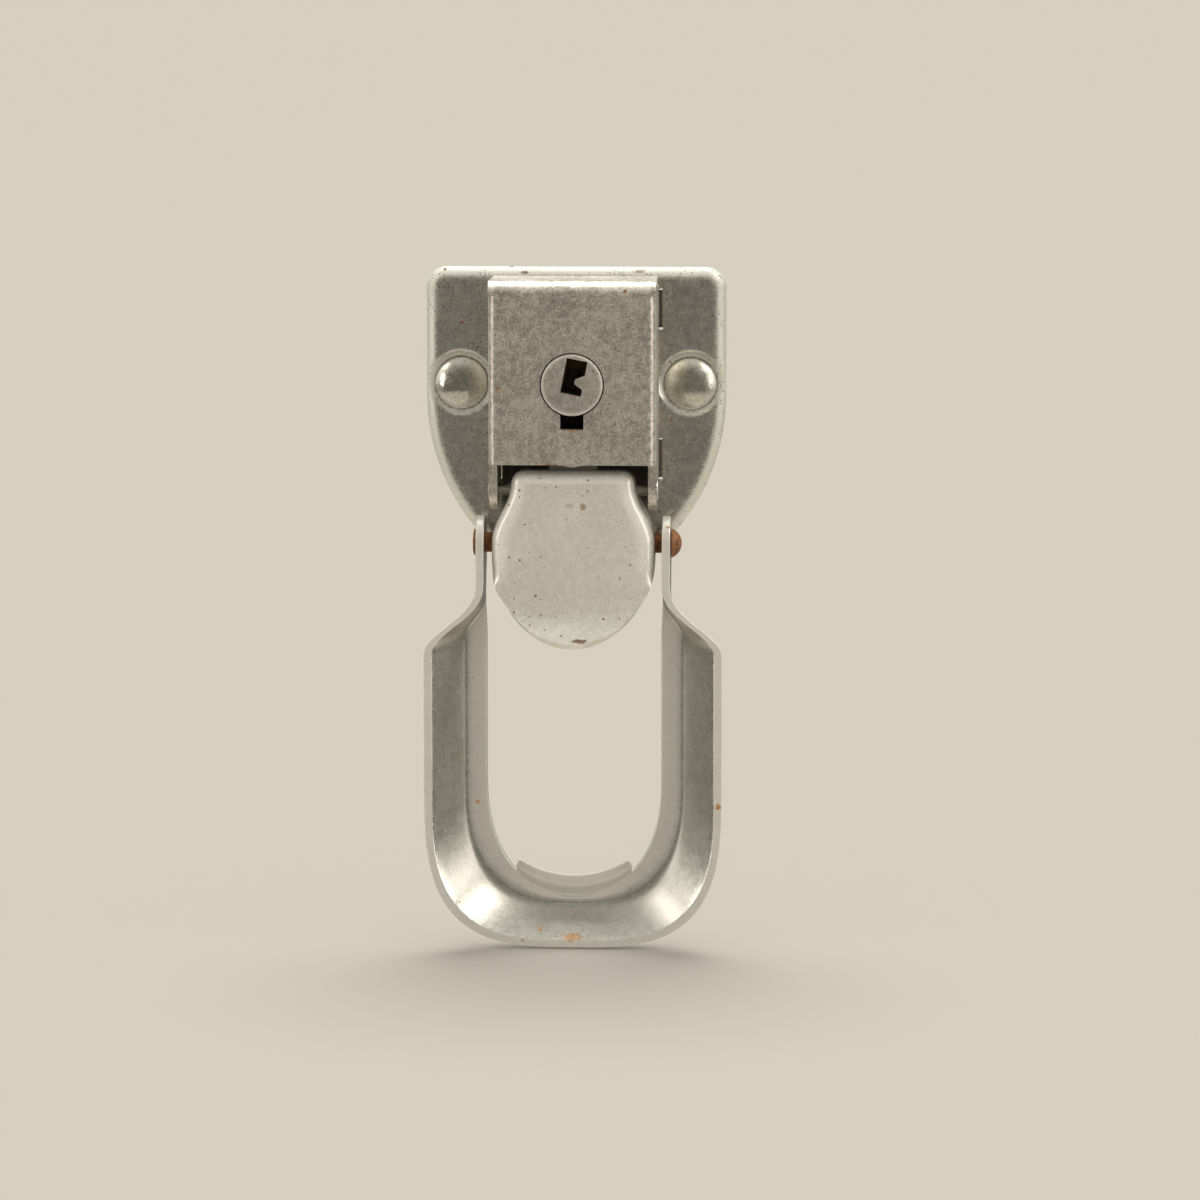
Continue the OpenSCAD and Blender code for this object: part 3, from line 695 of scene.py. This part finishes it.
leverShape = {"sheet": 1.1, "top": -11.9, "face": 12.1, "round": 1.8, "corner": 2.1,
              "topHalf": 9.05, "grow": 2.85, "growFrom": -14.0, "growTo": -22.5,
              "pinch": 0.2, "pinchSpan": (24, 29), "skirtFoot": -29.0, "lipStart": -31.8,
              "lipCentre": -26.7, "lipRadius": 11.0, "curlZ": -29.5, "curl": 9.7,
              "crown": 0.12, "easeSpan": (-31.5, -26.8), "easeRounds": 16,
              "skirtFade": (29.3, 27.0), "wallFade": (28.9, 28.0), "spine": (-30.5, -15.5),
              "wallDown": [11.9, 12.9, 14.4, 26, 27.5, 29],
              "wallBack": [8.9, 6.7, 5.2, 5.2, 6.2, 11.5],
              "highlightLine": (1.6, 0.6), "highlightFade": (28.5, 25.5), "heelHalf": 3.5,
              "heelFoot": -12.6, "heelTop": -9.7, "heelH": 10.0, "heelShade": -0.85,
              "edge": 0.13}


def leverHeight(shape, faceH, x, z):
    # flat with a slight crown, then rising round the curl's circle below curlZ
    below = np.clip(shape["curlZ"] - z, 0, shape["curl"] * 0.9)
    rise = shape["curl"] - np.sqrt(shape["curl"] ** 2 - below ** 2)
    return faceH + rise - shape["crown"] * (x / 10) ** 2


def makeLever(shape):
    # Pressed sheet: one closed outline takes in the skirt and the finger lip. The round-over
    # drops the edge by r - sqrt(r^2 - (r - inset)^2) and fades out above the lip, and walls
    # run back from it. Lines then run in to a spine down the middle.
    box = limits("lever")
    topZ, faceH = shape["top"], shape["face"]
    r, c = shape["round"], shape["corner"]
    sideZ = np.linspace(shape["growFrom"], shape["skirtFoot"], 34)
    sideX = shape["topHalf"] + shape["grow"] * smoothStep(-shape["growFrom"],
                                                          -shape["growTo"], -sideZ)
    sideX -= shape["pinch"] * smoothStep(*shape["pinchSpan"], -sideZ)
    lipAngle = np.radians(np.linspace(shape["lipStart"], -90, 34))
    lipX = shape["lipRadius"] * np.cos(lipAngle)
    lipZ = shape["lipCentre"] + shape["lipRadius"] * np.sin(lipAngle)
    curled = np.clip((shape["curlZ"] - lipZ) / (shape["curl"] + shape["sheet"]), 0, 1)
    lipZ += shape["sheet"] * curled
    top, _ = straight((0, topZ), (shape["topHalf"] - c, topZ), 0.5)
    corner, _ = arc((shape["topHalf"] - c, topZ - c), c, 90, 0, 8)
    shoulder, _ = straight((sideX[-1], sideZ[-1]), (lipX[0], lipZ[0]), 0.4)
    half = np.concatenate([top, corner[1:], np.stack([sideX, sideZ], -1)[1:], shoulder[1:],
                           np.stack([lipX, lipZ], -1)[1:]])
    # the outline is eased where the skirt's foot runs into the lip
    low, high = shape["easeSpan"]
    atFoot = (half[:, 1] < high) & (half[:, 1] > low)
    for _ in range(shape["easeRounds"]):
        eased = (np.roll(half, 1, 0) + 2 * half + np.roll(half, -1, 0)) / 4
        half = np.where(atFoot[:, None], eased, half)
    points, normals = closedByMirror(half, smoothedNormals(half))
    px, pz = points.T
    skirt = smoothStep(*shape["skirtFade"], -pz)
    back = np.interp(-pz, shape["wallDown"], shape["wallBack"])
    turn = np.radians(np.linspace(0, 90, 9))
    inset = np.concatenate([[0, 0, 0], r * (1 - np.cos(turn))])
    rim = points[None] - inset[:, None, None] * normals[None]
    spine = np.stack([0 * px, np.clip(pz, *shape["spine"])], -1)
    share = np.linspace(0, 1, 18)[1:]
    inner = rim[-1] + share[:, None, None] * (spine - rim[-1])
    x, z = np.moveaxis(np.concatenate([rim, inner]), -1, 0)
    h = leverHeight(shape, faceH, x, z)
    drop = np.concatenate([np.zeros(3), r * (1 - np.sin(turn)), 0 * share])[:, None]
    h = h - skirt * drop
    wallTop = h[3]
    wallBack = np.minimum(back, wallTop)
    wallBack = wallTop + (wallBack - wallTop) * smoothStep(*shape["wallFade"], -pz)
    h[:3] = wallTop + (wallBack - wallTop) * np.array([1, 0.6, 0.25])[:, None]
    # painted highlight: a pale line along the round-over and a fainter one just inside it
    highlightAt, highlightWide = shape["highlightLine"]
    highlightLine = np.exp(-((inset - highlightAt) / highlightWide) ** 2)
    wearAndLight = np.concatenate([highlightLine, np.exp(-((share * 10 - 0.2) / 0.5) ** 2) * 0.6])[:, None]
    wearAndLight = wearAndLight * smoothStep(*shape["highlightFade"], -pz)
    tabZ = np.array([shape["heelFoot"], -11.5, -10.5, shape["heelTop"]])
    tabX = np.linspace(-shape["heelHalf"], shape["heelHalf"], 9)
    # painted shade on the heel tab, which sits in the case's shadow
    tab = surface(tabX[None], shape["heelH"], tabZ[:, None], shape["heelShade"])
    lever = buildMesh("leverShell", [(surface(x, h, z, wearAndLight), True, front), (tab, False, front)])
    addSheet(lever, shape["sheet"])
    easeEdges(lever, shape["edge"])
    return applyAll(lever)


bailShape = {"sheet": 1.2, "earHalf": 13.0, "earRadius": 4.0, "floorLow": 6.0, "rimH": 12.0,
             "loopZ": -58.1, "inner": (12.8, 17.1, 2.25), "foot": (16.0, 18.5, 2.7),
             "rim": (21.9, 24.3, 3.2), "tongueRadius": 15.1, "tongueTip": -72.4,
             "tongueRise": 1.0, "tongueAngle": 40.0, "tongueLap": 0.9, "kneeRise": 0.16,
             "valley": 0.3, "neck": -28.2, "hip": -40, "narrowFall": 7.6,
             "flareFall": (-28.5, 10.5, 1.25), "spreadFall": (-31, 6, 1),
             "wearAndLightPlaces": [19, 20, 32, 35, 36, 39, 42, 44, 46, 55, 56, 59],
             "wearAndLightDepths": [0, 1, 1, 0, -0.12, -0.16, -0.42, 0.4, 0.75, 0.9, 0.4, 0.4],
             "tongueHighlight": ((14, 31, 0.7), (31, 50, 1.0))}


def uCurve(loopZ, size, degrees):
    # squared half ellipse below loopZ: x = a cos^(2/n), z = loopZ - b sin^(2/n)
    wide, deep, square = size
    t = np.radians(degrees)
    x = wide * np.sign(np.cos(t)) * np.abs(np.cos(t)) ** (2 / square)
    return x, loopZ - deep * np.abs(np.sin(t)) ** (2 / square)


def sShare(z, start, fall, lag):
    # sin^2 of the share of the fall, with the slow part of the S first
    return np.sin(np.pi / 2 * np.clip((start - z) / fall, 0, 1) ** lag) ** 2


def bailStations(shape, rivetH, rivetZ):
    # Per station down one side: the floor's inner edge, the foot of the flare and the rim
    # in plan, and the heights of the floor's underside and of the rim.
    ear, sheet = shape["earHalf"], shape["sheet"]
    tip = np.radians(np.concatenate([[88, 82, 75], np.linspace(67, 0, 9)]))
    z = np.concatenate([rivetZ + shape["earRadius"] * np.sin(tip),
                        np.linspace(rivetZ, shape["neck"], 7)[1:],
                        np.linspace(shape["neck"], shape["hip"], 36)[1:],
                        np.linspace(shape["hip"], shape["loopZ"], 12)[1:-1]])
    reach = shape["earRadius"] * np.sqrt(np.clip(1 - ((z - rivetZ) / shape["earRadius"]) ** 2,
                                                 0, 1))
    narrow = smoothStep(0, shape["narrowFall"], rivetZ - z)
    tipPart = z > rivetZ
    low = np.where(tipPart, rivetH - reach,
                   rivetH - shape["earRadius"]
                   + narrow * (shape["floorLow"] - rivetH + shape["earRadius"]))
    high = np.where(tipPart, rivetH + reach,
                    rivetH + shape["earRadius"]
                    + narrow * (shape["rimH"] - rivetH - shape["earRadius"]))
    flare = sShare(z, *shape["flareFall"])
    spread = sShare(z, *shape["spreadFall"])
    inner = np.stack([ear - (ear - shape["inner"][0]) * spread, z], -1)
    foot = np.stack([ear + (shape["foot"][0] - ear) * spread, z], -1)
    rim = np.stack([ear + sheet + (shape["rim"][0] - ear - sheet) * flare, z], -1)
    degrees = np.concatenate([np.linspace(0, 24, 9), np.linspace(24, 66, 22)[1:],
                              np.linspace(66, 90, 10)[1:]])
    ends = [np.stack(uCurve(shape["loopZ"], shape[key], degrees), -1)
            for key in ("inner", "foot", "rim")]
    count = len(degrees)
    return (np.concatenate([inner, ends[0]]), np.concatenate([foot, ends[1]]),
            np.concatenate([rim, ends[2]]),
            np.concatenate([low, np.full(count, shape["floorLow"])]),
            np.concatenate([high, np.full(count, shape["rimH"])]),
            np.concatenate([flare, np.ones(count)]),
            np.concatenate([0 * z, np.sin(np.radians(degrees)) ** 2]))


def mirrorStations(half):
    # stations down the right side, then up the left, as a mirror image
    return np.concatenate([half, half[-2::-1] * np.array([-1, 1, 1])])


def makeBail(shape):
    # One closed section of floor, foot, flare and trimmed rim, carried from ear to ear
    # round the loop, and a bearing tongue that leans forward from the floor's inner edge.
    rivetH, rivetZ = pivotAt("bail_swing")
    inner, foot, rim, low, high, flare, bottom = bailStations(shape, rivetH, rivetZ)
    sheet = shape["sheet"]
    out = rim - foot
    out /= np.linalg.norm(out, axis=1, keepdims=True)
    toe = sheet - (sheet - 0.1) * flare
    ledge = np.minimum(low + sheet, (low + high) / 2)

    def corner(plan, h):
        return np.stack([plan[:, 0], h, plan[:, 1]], -1)

    dip = shape["valley"] * smoothStep(0.2, 1.0, flare)
    corners = np.stack([corner(inner, low), corner(foot + toe[:, None] * out, low),
                        corner(rim, high), corner(rim - sheet * out, high),
                        corner(foot, ledge - dip), corner(inner, ledge + 0.1 * flare)], 1)
    soft = 0.6 + 1.1 * bottom
    radii = np.stack([0.2 + 0 * soft, 0.9 * soft + 0.3, 0.22 + 0 * soft, 0.22 + 0 * soft, soft,
                      0.3 + 0 * soft], 1)[..., None]
    loops = ringLoop(mirrorStations(corners), np.concatenate([radii, radii[-2::-1]]),
                     bends=6, runs=4)
    # marks round the section: light rim edge (worn edge and painted highlight), painted shade on
    # the flare, a line of painted shade in the crease, painted highlight on the floor
    wearAndLight = np.interp(np.arange(loops.shape[1]), shape["wearAndLightPlaces"], shape["wearAndLightDepths"])
    wearAndLight = np.broadcast_to(wearAndLight, loops.shape[:2])
    channel = surface(loops[..., 0], loops[..., 1], loops[..., 2], wearAndLight)

    angles = np.linspace(90 - shape["tongueAngle"], 90 + shape["tongueAngle"], 61)
    wide, deep, square = shape["inner"]
    rootX, rootZ = uCurve(shape["loopZ"], (wide, deep, square), angles)
    lap = shape["tongueLap"]
    overX, overZ = uCurve(shape["loopZ"], (wide + lap, deep + lap, square), angles)
    tipX = 0.96 * rootX
    radius = shape["tongueRadius"]
    tipZ = shape["tongueTip"] + radius - np.sqrt(radius ** 2 - tipX ** 2)
    side = np.abs(angles - 90) / shape["tongueAngle"]
    blunt = 1 - (1 - np.sqrt(np.clip(1 - ((side - 0.93) / 0.07) ** 2, 0, 1))) * (side > 0.93)
    grow = 0.3 + 0.7 * blunt
    tipX, tipZ = rootX + (tipX - rootX) * grow, rootZ + (tipZ - rootZ) * grow
    lean = shape["tongueRise"] * grow
    lowH, highH = shape["floorLow"], shape["floorLow"] + sheet
    kneeH = highH + shape["kneeRise"]
    lip = np.stack([np.stack([overX, lowH + 0.1 + 0 * rootX, overZ], -1),
                    np.stack([overX, highH - 0.25 + 0 * rootX, overZ], -1),
                    np.stack([rootX, kneeH + 0 * rootX, rootZ - 0.1], -1),
                    np.stack([0.45 * tipX + 0.55 * rootX, kneeH - 0.06 + 0 * rootX,
                              0.45 * tipZ + 0.55 * rootZ], -1),
                    np.stack([tipX, highH + lean, tipZ + 0.25], -1),
                    np.stack([tipX, lowH + lean, tipZ], -1)], 1)
    lipLoops = ringLoop(lip, np.array([0.1, 0.1, 0.4, 0.6, 0.28, 0.2])[None, :, None],
                        bends=5, runs=4)
    # painted highlight on the tongue's front and tip
    lipHighlight = np.zeros(lipLoops.shape[:2])
    for first, last, amount in shape["tongueHighlight"]:
        lipHighlight[:, first:last] = amount
    tongue = surface(lipLoops[..., 0], lipLoops[..., 1], lipLoops[..., 2], lipHighlight)
    return buildMesh("bailShell", [(channel, True, None), (tongue, True, None)], closed=True)


mountingRivetShape = {"headDepth": 1.5, "bow": 43, "lip": 0.12, "shank": 2.0, "chamfer": 0.3}


def makeMountingRivet(shape, side, name):
    # domed head with a turned-down lip, shank, and a tail with a small chamfer
    box = limits("mounting_rivet_left" if side < 0 else "mounting_rivet_right")
    centre = ((box["left"] + box["right"]) / 2, 0, (box["foot"] + box["top"]) / 2)
    head = (box["right"] - box["left"]) / 2
    seat = box["front"] - shape["headDepth"]
    bow = np.radians(np.linspace(0, shape["bow"], 14))
    ball = head / np.sin(bow[-1])
    domeR = ball * np.sin(bow)
    domeH = box["front"] - ball * (1 - np.cos(bow))
    shank, tail, chamfer = shape["shank"], box["back"], shape["chamfer"]
    r = np.concatenate([[0, 0.5, shank - chamfer, shank, shank, 3.2, head - 0.25, head],
                        domeR[::-1]])
    h = np.concatenate([[tail, tail, tail, tail + chamfer, seat, seat, seat,
                         seat + shape["lip"]], domeH[::-1]])
    # painted highlight: a pale ring at the head's edge, fading up the dome
    wearAndLight = np.concatenate([np.zeros(7), [1.0], np.linspace(1, 0, 14) ** 4])
    return buildMesh(name, [(turned(r, h, centre, "y", wearAndLight, 64), True, None)])


leverPinShape = {"radius": 0.85, "head": 1.68}


def makeLeverPin(shape):
    # bright pin with a flat head peened over at each end
    box = limits("lever_pin")
    pinH, pinZ = pivotAt("lever_lift")
    end, pin, head = box["right"], shape["radius"], shape["head"]
    half = [(0, end), (0.9, end), (1.4, end - 0.06), (head, end - 0.2), (head, end - 0.29),
            (pin, end - 0.31), (pin, 0)]
    r = np.array([p[0] for p in half] + [p[0] for p in half[-2::-1]])
    t = np.array([p[1] for p in half] + [-p[1] for p in half[-2::-1]])
    return buildMesh("leverPinBar", [(turned(r, t, (0, pinH, pinZ), "x"), True, None)])


bailRivetShape = {"shank": 1.45, "dome": 2.13, "domeDepth": 1.42, "bow": 70, "peened": 1.98,
                  "lumps": (0.035, 0.02)}


def makeBailRivet(shape):
    # shank with a domed head on the right and a lumpy peened head on the left
    box = limits("bail_rivet")
    rivetH, rivetZ = pivotAt("bail_swing")
    left, right = box["left"], box["right"]
    bow = np.radians(np.linspace(0, shape["bow"], 10))
    headR = shape["dome"] * np.sin(bow) / np.sin(bow[-1])
    headX = right - shape["domeDepth"] * (1 - np.cos(bow)) / (1 - np.cos(bow[-1]))
    r = np.concatenate([[0, 0.8, 1.5, 1.9, shape["peened"], 1.8], [shape["shank"]] * 4, [2.0],
                        headR[::-1]])
    t = np.concatenate([[left, left, left + 0.03, left + 0.12, left + 0.3, left + 0.44,
                         left + 0.5, -6, 6, right - 1.5, right - 1.5], headX[::-1]])
    grid, wearAndLight = turned(r, t, (0, rivetH, rivetZ), "x")
    turn = np.linspace(0, 2 * np.pi, grid.shape[1], endpoint=False)
    broad, fine = shape["lumps"]
    lump = 1 + broad * np.cos(3 * turn + 0.6) + fine * np.cos(5 * turn)
    middle = np.array([0, -rivetH, rivetZ]) * mm
    lumpy = grid - middle
    lumpy[:6, :, 1:] *= np.minimum(lump, 1.0)[None, :, None]
    return buildMesh("bailRivetBar", [((lumpy + middle, wearAndLight), True, None)])


plugShape = {"radius": 4.5, "chamfer": 0.16, "faceH": 13.5, "stepH": 5.6, "lean": 11.0,
             "keywayFoot": 6.4, "edge": 0.09,
             "keyway": [(-1.45, -1.4), (1.6, -1.4), (1.6, -0.4), (0.32, 0.24), (0.32, 0.9),
                        (1.6, 1.7), (1.6, 3.75), (-1.45, 3.75)]}


def makePlug(shape):
    # barrel with a chamfered face, and a keyway with a side ward, leaning clockwise
    centre = (0, 0, pivots["plug_turn"][2] / mm)
    r, c, face = shape["radius"], shape["chamfer"], shape["faceH"]
    radii = [0, 2, 4.2, r, r, r, r - c, r - c - 0.25, 3.9, 3, 2, 1, 0]
    along = [shape["stepH"]] * 4 + [9, face - c, face, face, face, face, face, face, face]
    # painted highlight on the chamfer round the face
    wearAndLight = [0, 0, 0, 0, 0, 0.6, 1, 0.4, 0, 0, 0, 0, 0]
    plug = buildMesh("plugBarrel", [(turned(radii, along, centre, "y", wearAndLight, 96), True, None)])
    turn = np.radians(shape["lean"])
    x, z = np.array(shape["keyway"]).T
    outline = np.stack([x * np.cos(turn) + z * np.sin(turn),
                        z * np.cos(turn) - x * np.sin(turn) + centre[2]], -1)
    punch = cutOut(plug, "keyway", outline, shape["keywayFoot"], face + 2)
    easeEdges(plug, shape["edge"])
    return applyAll(plug, [punch])


finished = {slot: platedFinish(slot, {**plainPlating, **look})
            for slot, look in finishes.items()}
print("finishes ready")

finishPiece(makePlate(plateShape), "plate_nickel", "base", "base_plate")
finishPiece(makeCase(caseShape), "case_nickel", "base", "lock_case")
finishPiece(makeLever(leverShape), "lever_nickel", "lever", "lever")
finishPiece(makeBail(bailShape), "bail_nickel", "bail", "bail")
finishPiece(makeMountingRivet(mountingRivetShape, -1, "mountingRivetLeft"), "rivet_nickel",
            "base", "mounting_rivet_left")
finishPiece(makeMountingRivet(mountingRivetShape, 1, "mountingRivetRight"), "rivet_nickel",
            "base", "mounting_rivet_right")
finishPiece(makeLeverPin(leverPinShape), "spring_steel", "base", "lever_pin")
finishPiece(makeBailRivet(bailRivetShape), "rusty_steel", "bail_rivet", "bail_rivet")
finishPiece(makePlug(plugShape), "plug_nickel", "plug", "plug")

insideFinishes = {"lock_body": "zinc", "plug_cam": "plain_steel", "bolt": "plain_steel"}
for number in range(1, 5):
    insideFinishes[f"wafer_{number}"] = "wafer_brass"
    insideFinishes[f"wafer_spring_{number}"] = "spring_steel"
for nodeName, slotName in insideFinishes.items():
    part = frame["nodes"][nodeName]
    part.data.materials.clear()
    part.data.materials.append(finished[slotName])
print("lock finished")


stageShape = {"floorDrop": 0.15, "floorFront": 1500, "floorBack": 6000, "floorHalf": 4000,
              "azimuth": 2.9, "elevation": 7.6, "distance": 900, "across": 176.9,
              "aim": (3.55, 2.5, -32.04), "floorTone": (0.48, 0.455, 0.41)}


def makeSheet(name, xs, hs, z, colour):
    # a level rectangle with a matt finish
    sheet = buildMesh(name, [(surface(np.array(xs)[None], np.array(hs)[:, None], z), False,
                              (0, 0, 1))])
    material = bpy.data.materials.new(name)
    material.use_nodes = True
    shader = material.node_tree.nodes["Principled BSDF"]
    shader.inputs["Base Color"].default_value = (*colour, 1)
    shader.inputs["Roughness"].default_value = 0.9
    shader.inputs["Specular IOR Level"].default_value = 0.1
    sheet.data.materials.append(material)
    return sheet


def makeFloor(shape):
    # a plain pale floor, which the metal doesn't see
    bottom = cadBounds[0].z / mm - shape["floorDrop"]
    half = shape["floorHalf"]
    floor = makeSheet("floor", (-half, half), (-shape["floorBack"], shape["floorFront"]),
                      bottom, shape["floorTone"])
    floor.visible_glossy = False


def makeWorld():
    # The metal reflects a direction's height: bright overhead, dim ahead, and pale below as
    # a table is. Matt surfaces get one even tone and the camera a pale one.
    world = bpy.data.worlds.new("studio")
    bpy.context.scene.world = world
    world.use_nodes = True
    tree = world.node_tree
    tree.nodes.clear()
    way = node(tree, "ShaderNodeTexCoord").outputs["Generated"]
    rise = node(tree, "ShaderNodeSeparateXYZ", {"Vector": way}).outputs["Z"]
    seen = mixColours(tree, rampBetween(tree, rise, 0.58, 0.92), (0.24, 0.225, 0.20, 1),
                      (0.75, 0.735, 0.695, 1))
    seen = mixColours(tree, rampBetween(tree, rise, -0.46, -0.58), seen,
                      (0.78, 0.72, 0.63, 1))
    mirrored = node(tree, "ShaderNodeBackground", {"Color": seen, "Strength": 1.0})
    even = node(tree, "ShaderNodeBackground", {"Color": (0.70, 0.665, 0.60, 1),
                                               "Strength": 1.0})
    pale = node(tree, "ShaderNodeBackground", {"Color": (0.62, 0.59, 0.53, 1),
                                               "Strength": 1.0})
    path = node(tree, "ShaderNodeLightPath")
    mixed = node(tree, "ShaderNodeMixShader", {0: path.outputs["Is Glossy Ray"],
                                               1: even.outputs[0], 2: mirrored.outputs[0]})
    mixed = node(tree, "ShaderNodeMixShader", {0: path.outputs["Is Camera Ray"],
                                               1: mixed.outputs[0], 2: pale.outputs[0]})
    node(tree, "ShaderNodeOutputWorld", {"Surface": mixed.outputs[0]})


def overhead(power, spread, lean):
    # an even light from above, as wide as a ceiling, leaning towards the front
    light = bpy.data.lights.new("overhead", "SUN")
    light.energy = power
    light.angle = np.radians(spread)
    light.color = (1, 0.985, 0.95)
    lamp = bpy.data.objects.new("overhead", light)
    lamp.rotation_euler = (np.radians(-lean), 0, 0)
    bpy.context.scene.collection.objects.link(lamp)


def softbox(name, at, aim, size, power):
    # a warm rectangle seen in the metal, which adds nothing to matt light
    light = bpy.data.lights.new(name, "AREA")
    light.shape = "RECTANGLE"
    light.size, light.size_y = size[0] * mm, size[1] * mm
    light.energy = power
    light.color = (1, 0.97, 0.92)
    lamp = bpy.data.objects.new(name, light)
    at, aim = Vector(at) * mm, Vector(aim) * mm
    lamp.location = at
    lamp.rotation_euler = (aim - at).to_track_quat("-Z", "Y").to_euler()
    lamp.visible_diffuse = False
    bpy.context.scene.collection.objects.link(lamp)


def makeCamera(shape):
    turn, rise = np.radians(shape["azimuth"]), np.radians(shape["elevation"])
    back = Vector((np.sin(turn) * np.cos(rise), -np.cos(turn) * np.cos(rise), np.sin(rise)))
    camera = bpy.data.objects.new("camera", bpy.data.cameras.new("camera"))
    camera.data.sensor_width = 36
    camera.data.lens = 36 * shape["distance"] / shape["across"]
    camera.data.clip_start, camera.data.clip_end = 0.01, 50
    x, h, z = shape["aim"]
    camera.location = Vector((x, -h, z)) * mm + back * shape["distance"] * mm
    camera.rotation_euler = (-back).to_track_quat("-Z", "Y").to_euler()
    bpy.context.scene.collection.objects.link(camera)
    bpy.context.scene.camera = camera


makeFloor(stageShape)
makeWorld()
overhead(2.4, 42, 22)
softbox("leftStrip", (-660, -300, 40), (0, 0, -20), (60, 420), 1.1)
softbox("rightStrip", (660, -300, 40), (0, 0, -20), (60, 420), 1.1)
softbox("highRight", (560, -150, 520), (0, 0, -40), (220, 220), 3.6)
softbox("highLeft", (-600, -150, 480), (0, 0, -40), (200, 200), 1.2)
makeCamera(stageShape)
bpy.context.scene.view_settings.view_transform = "Standard"
print("stage ready")
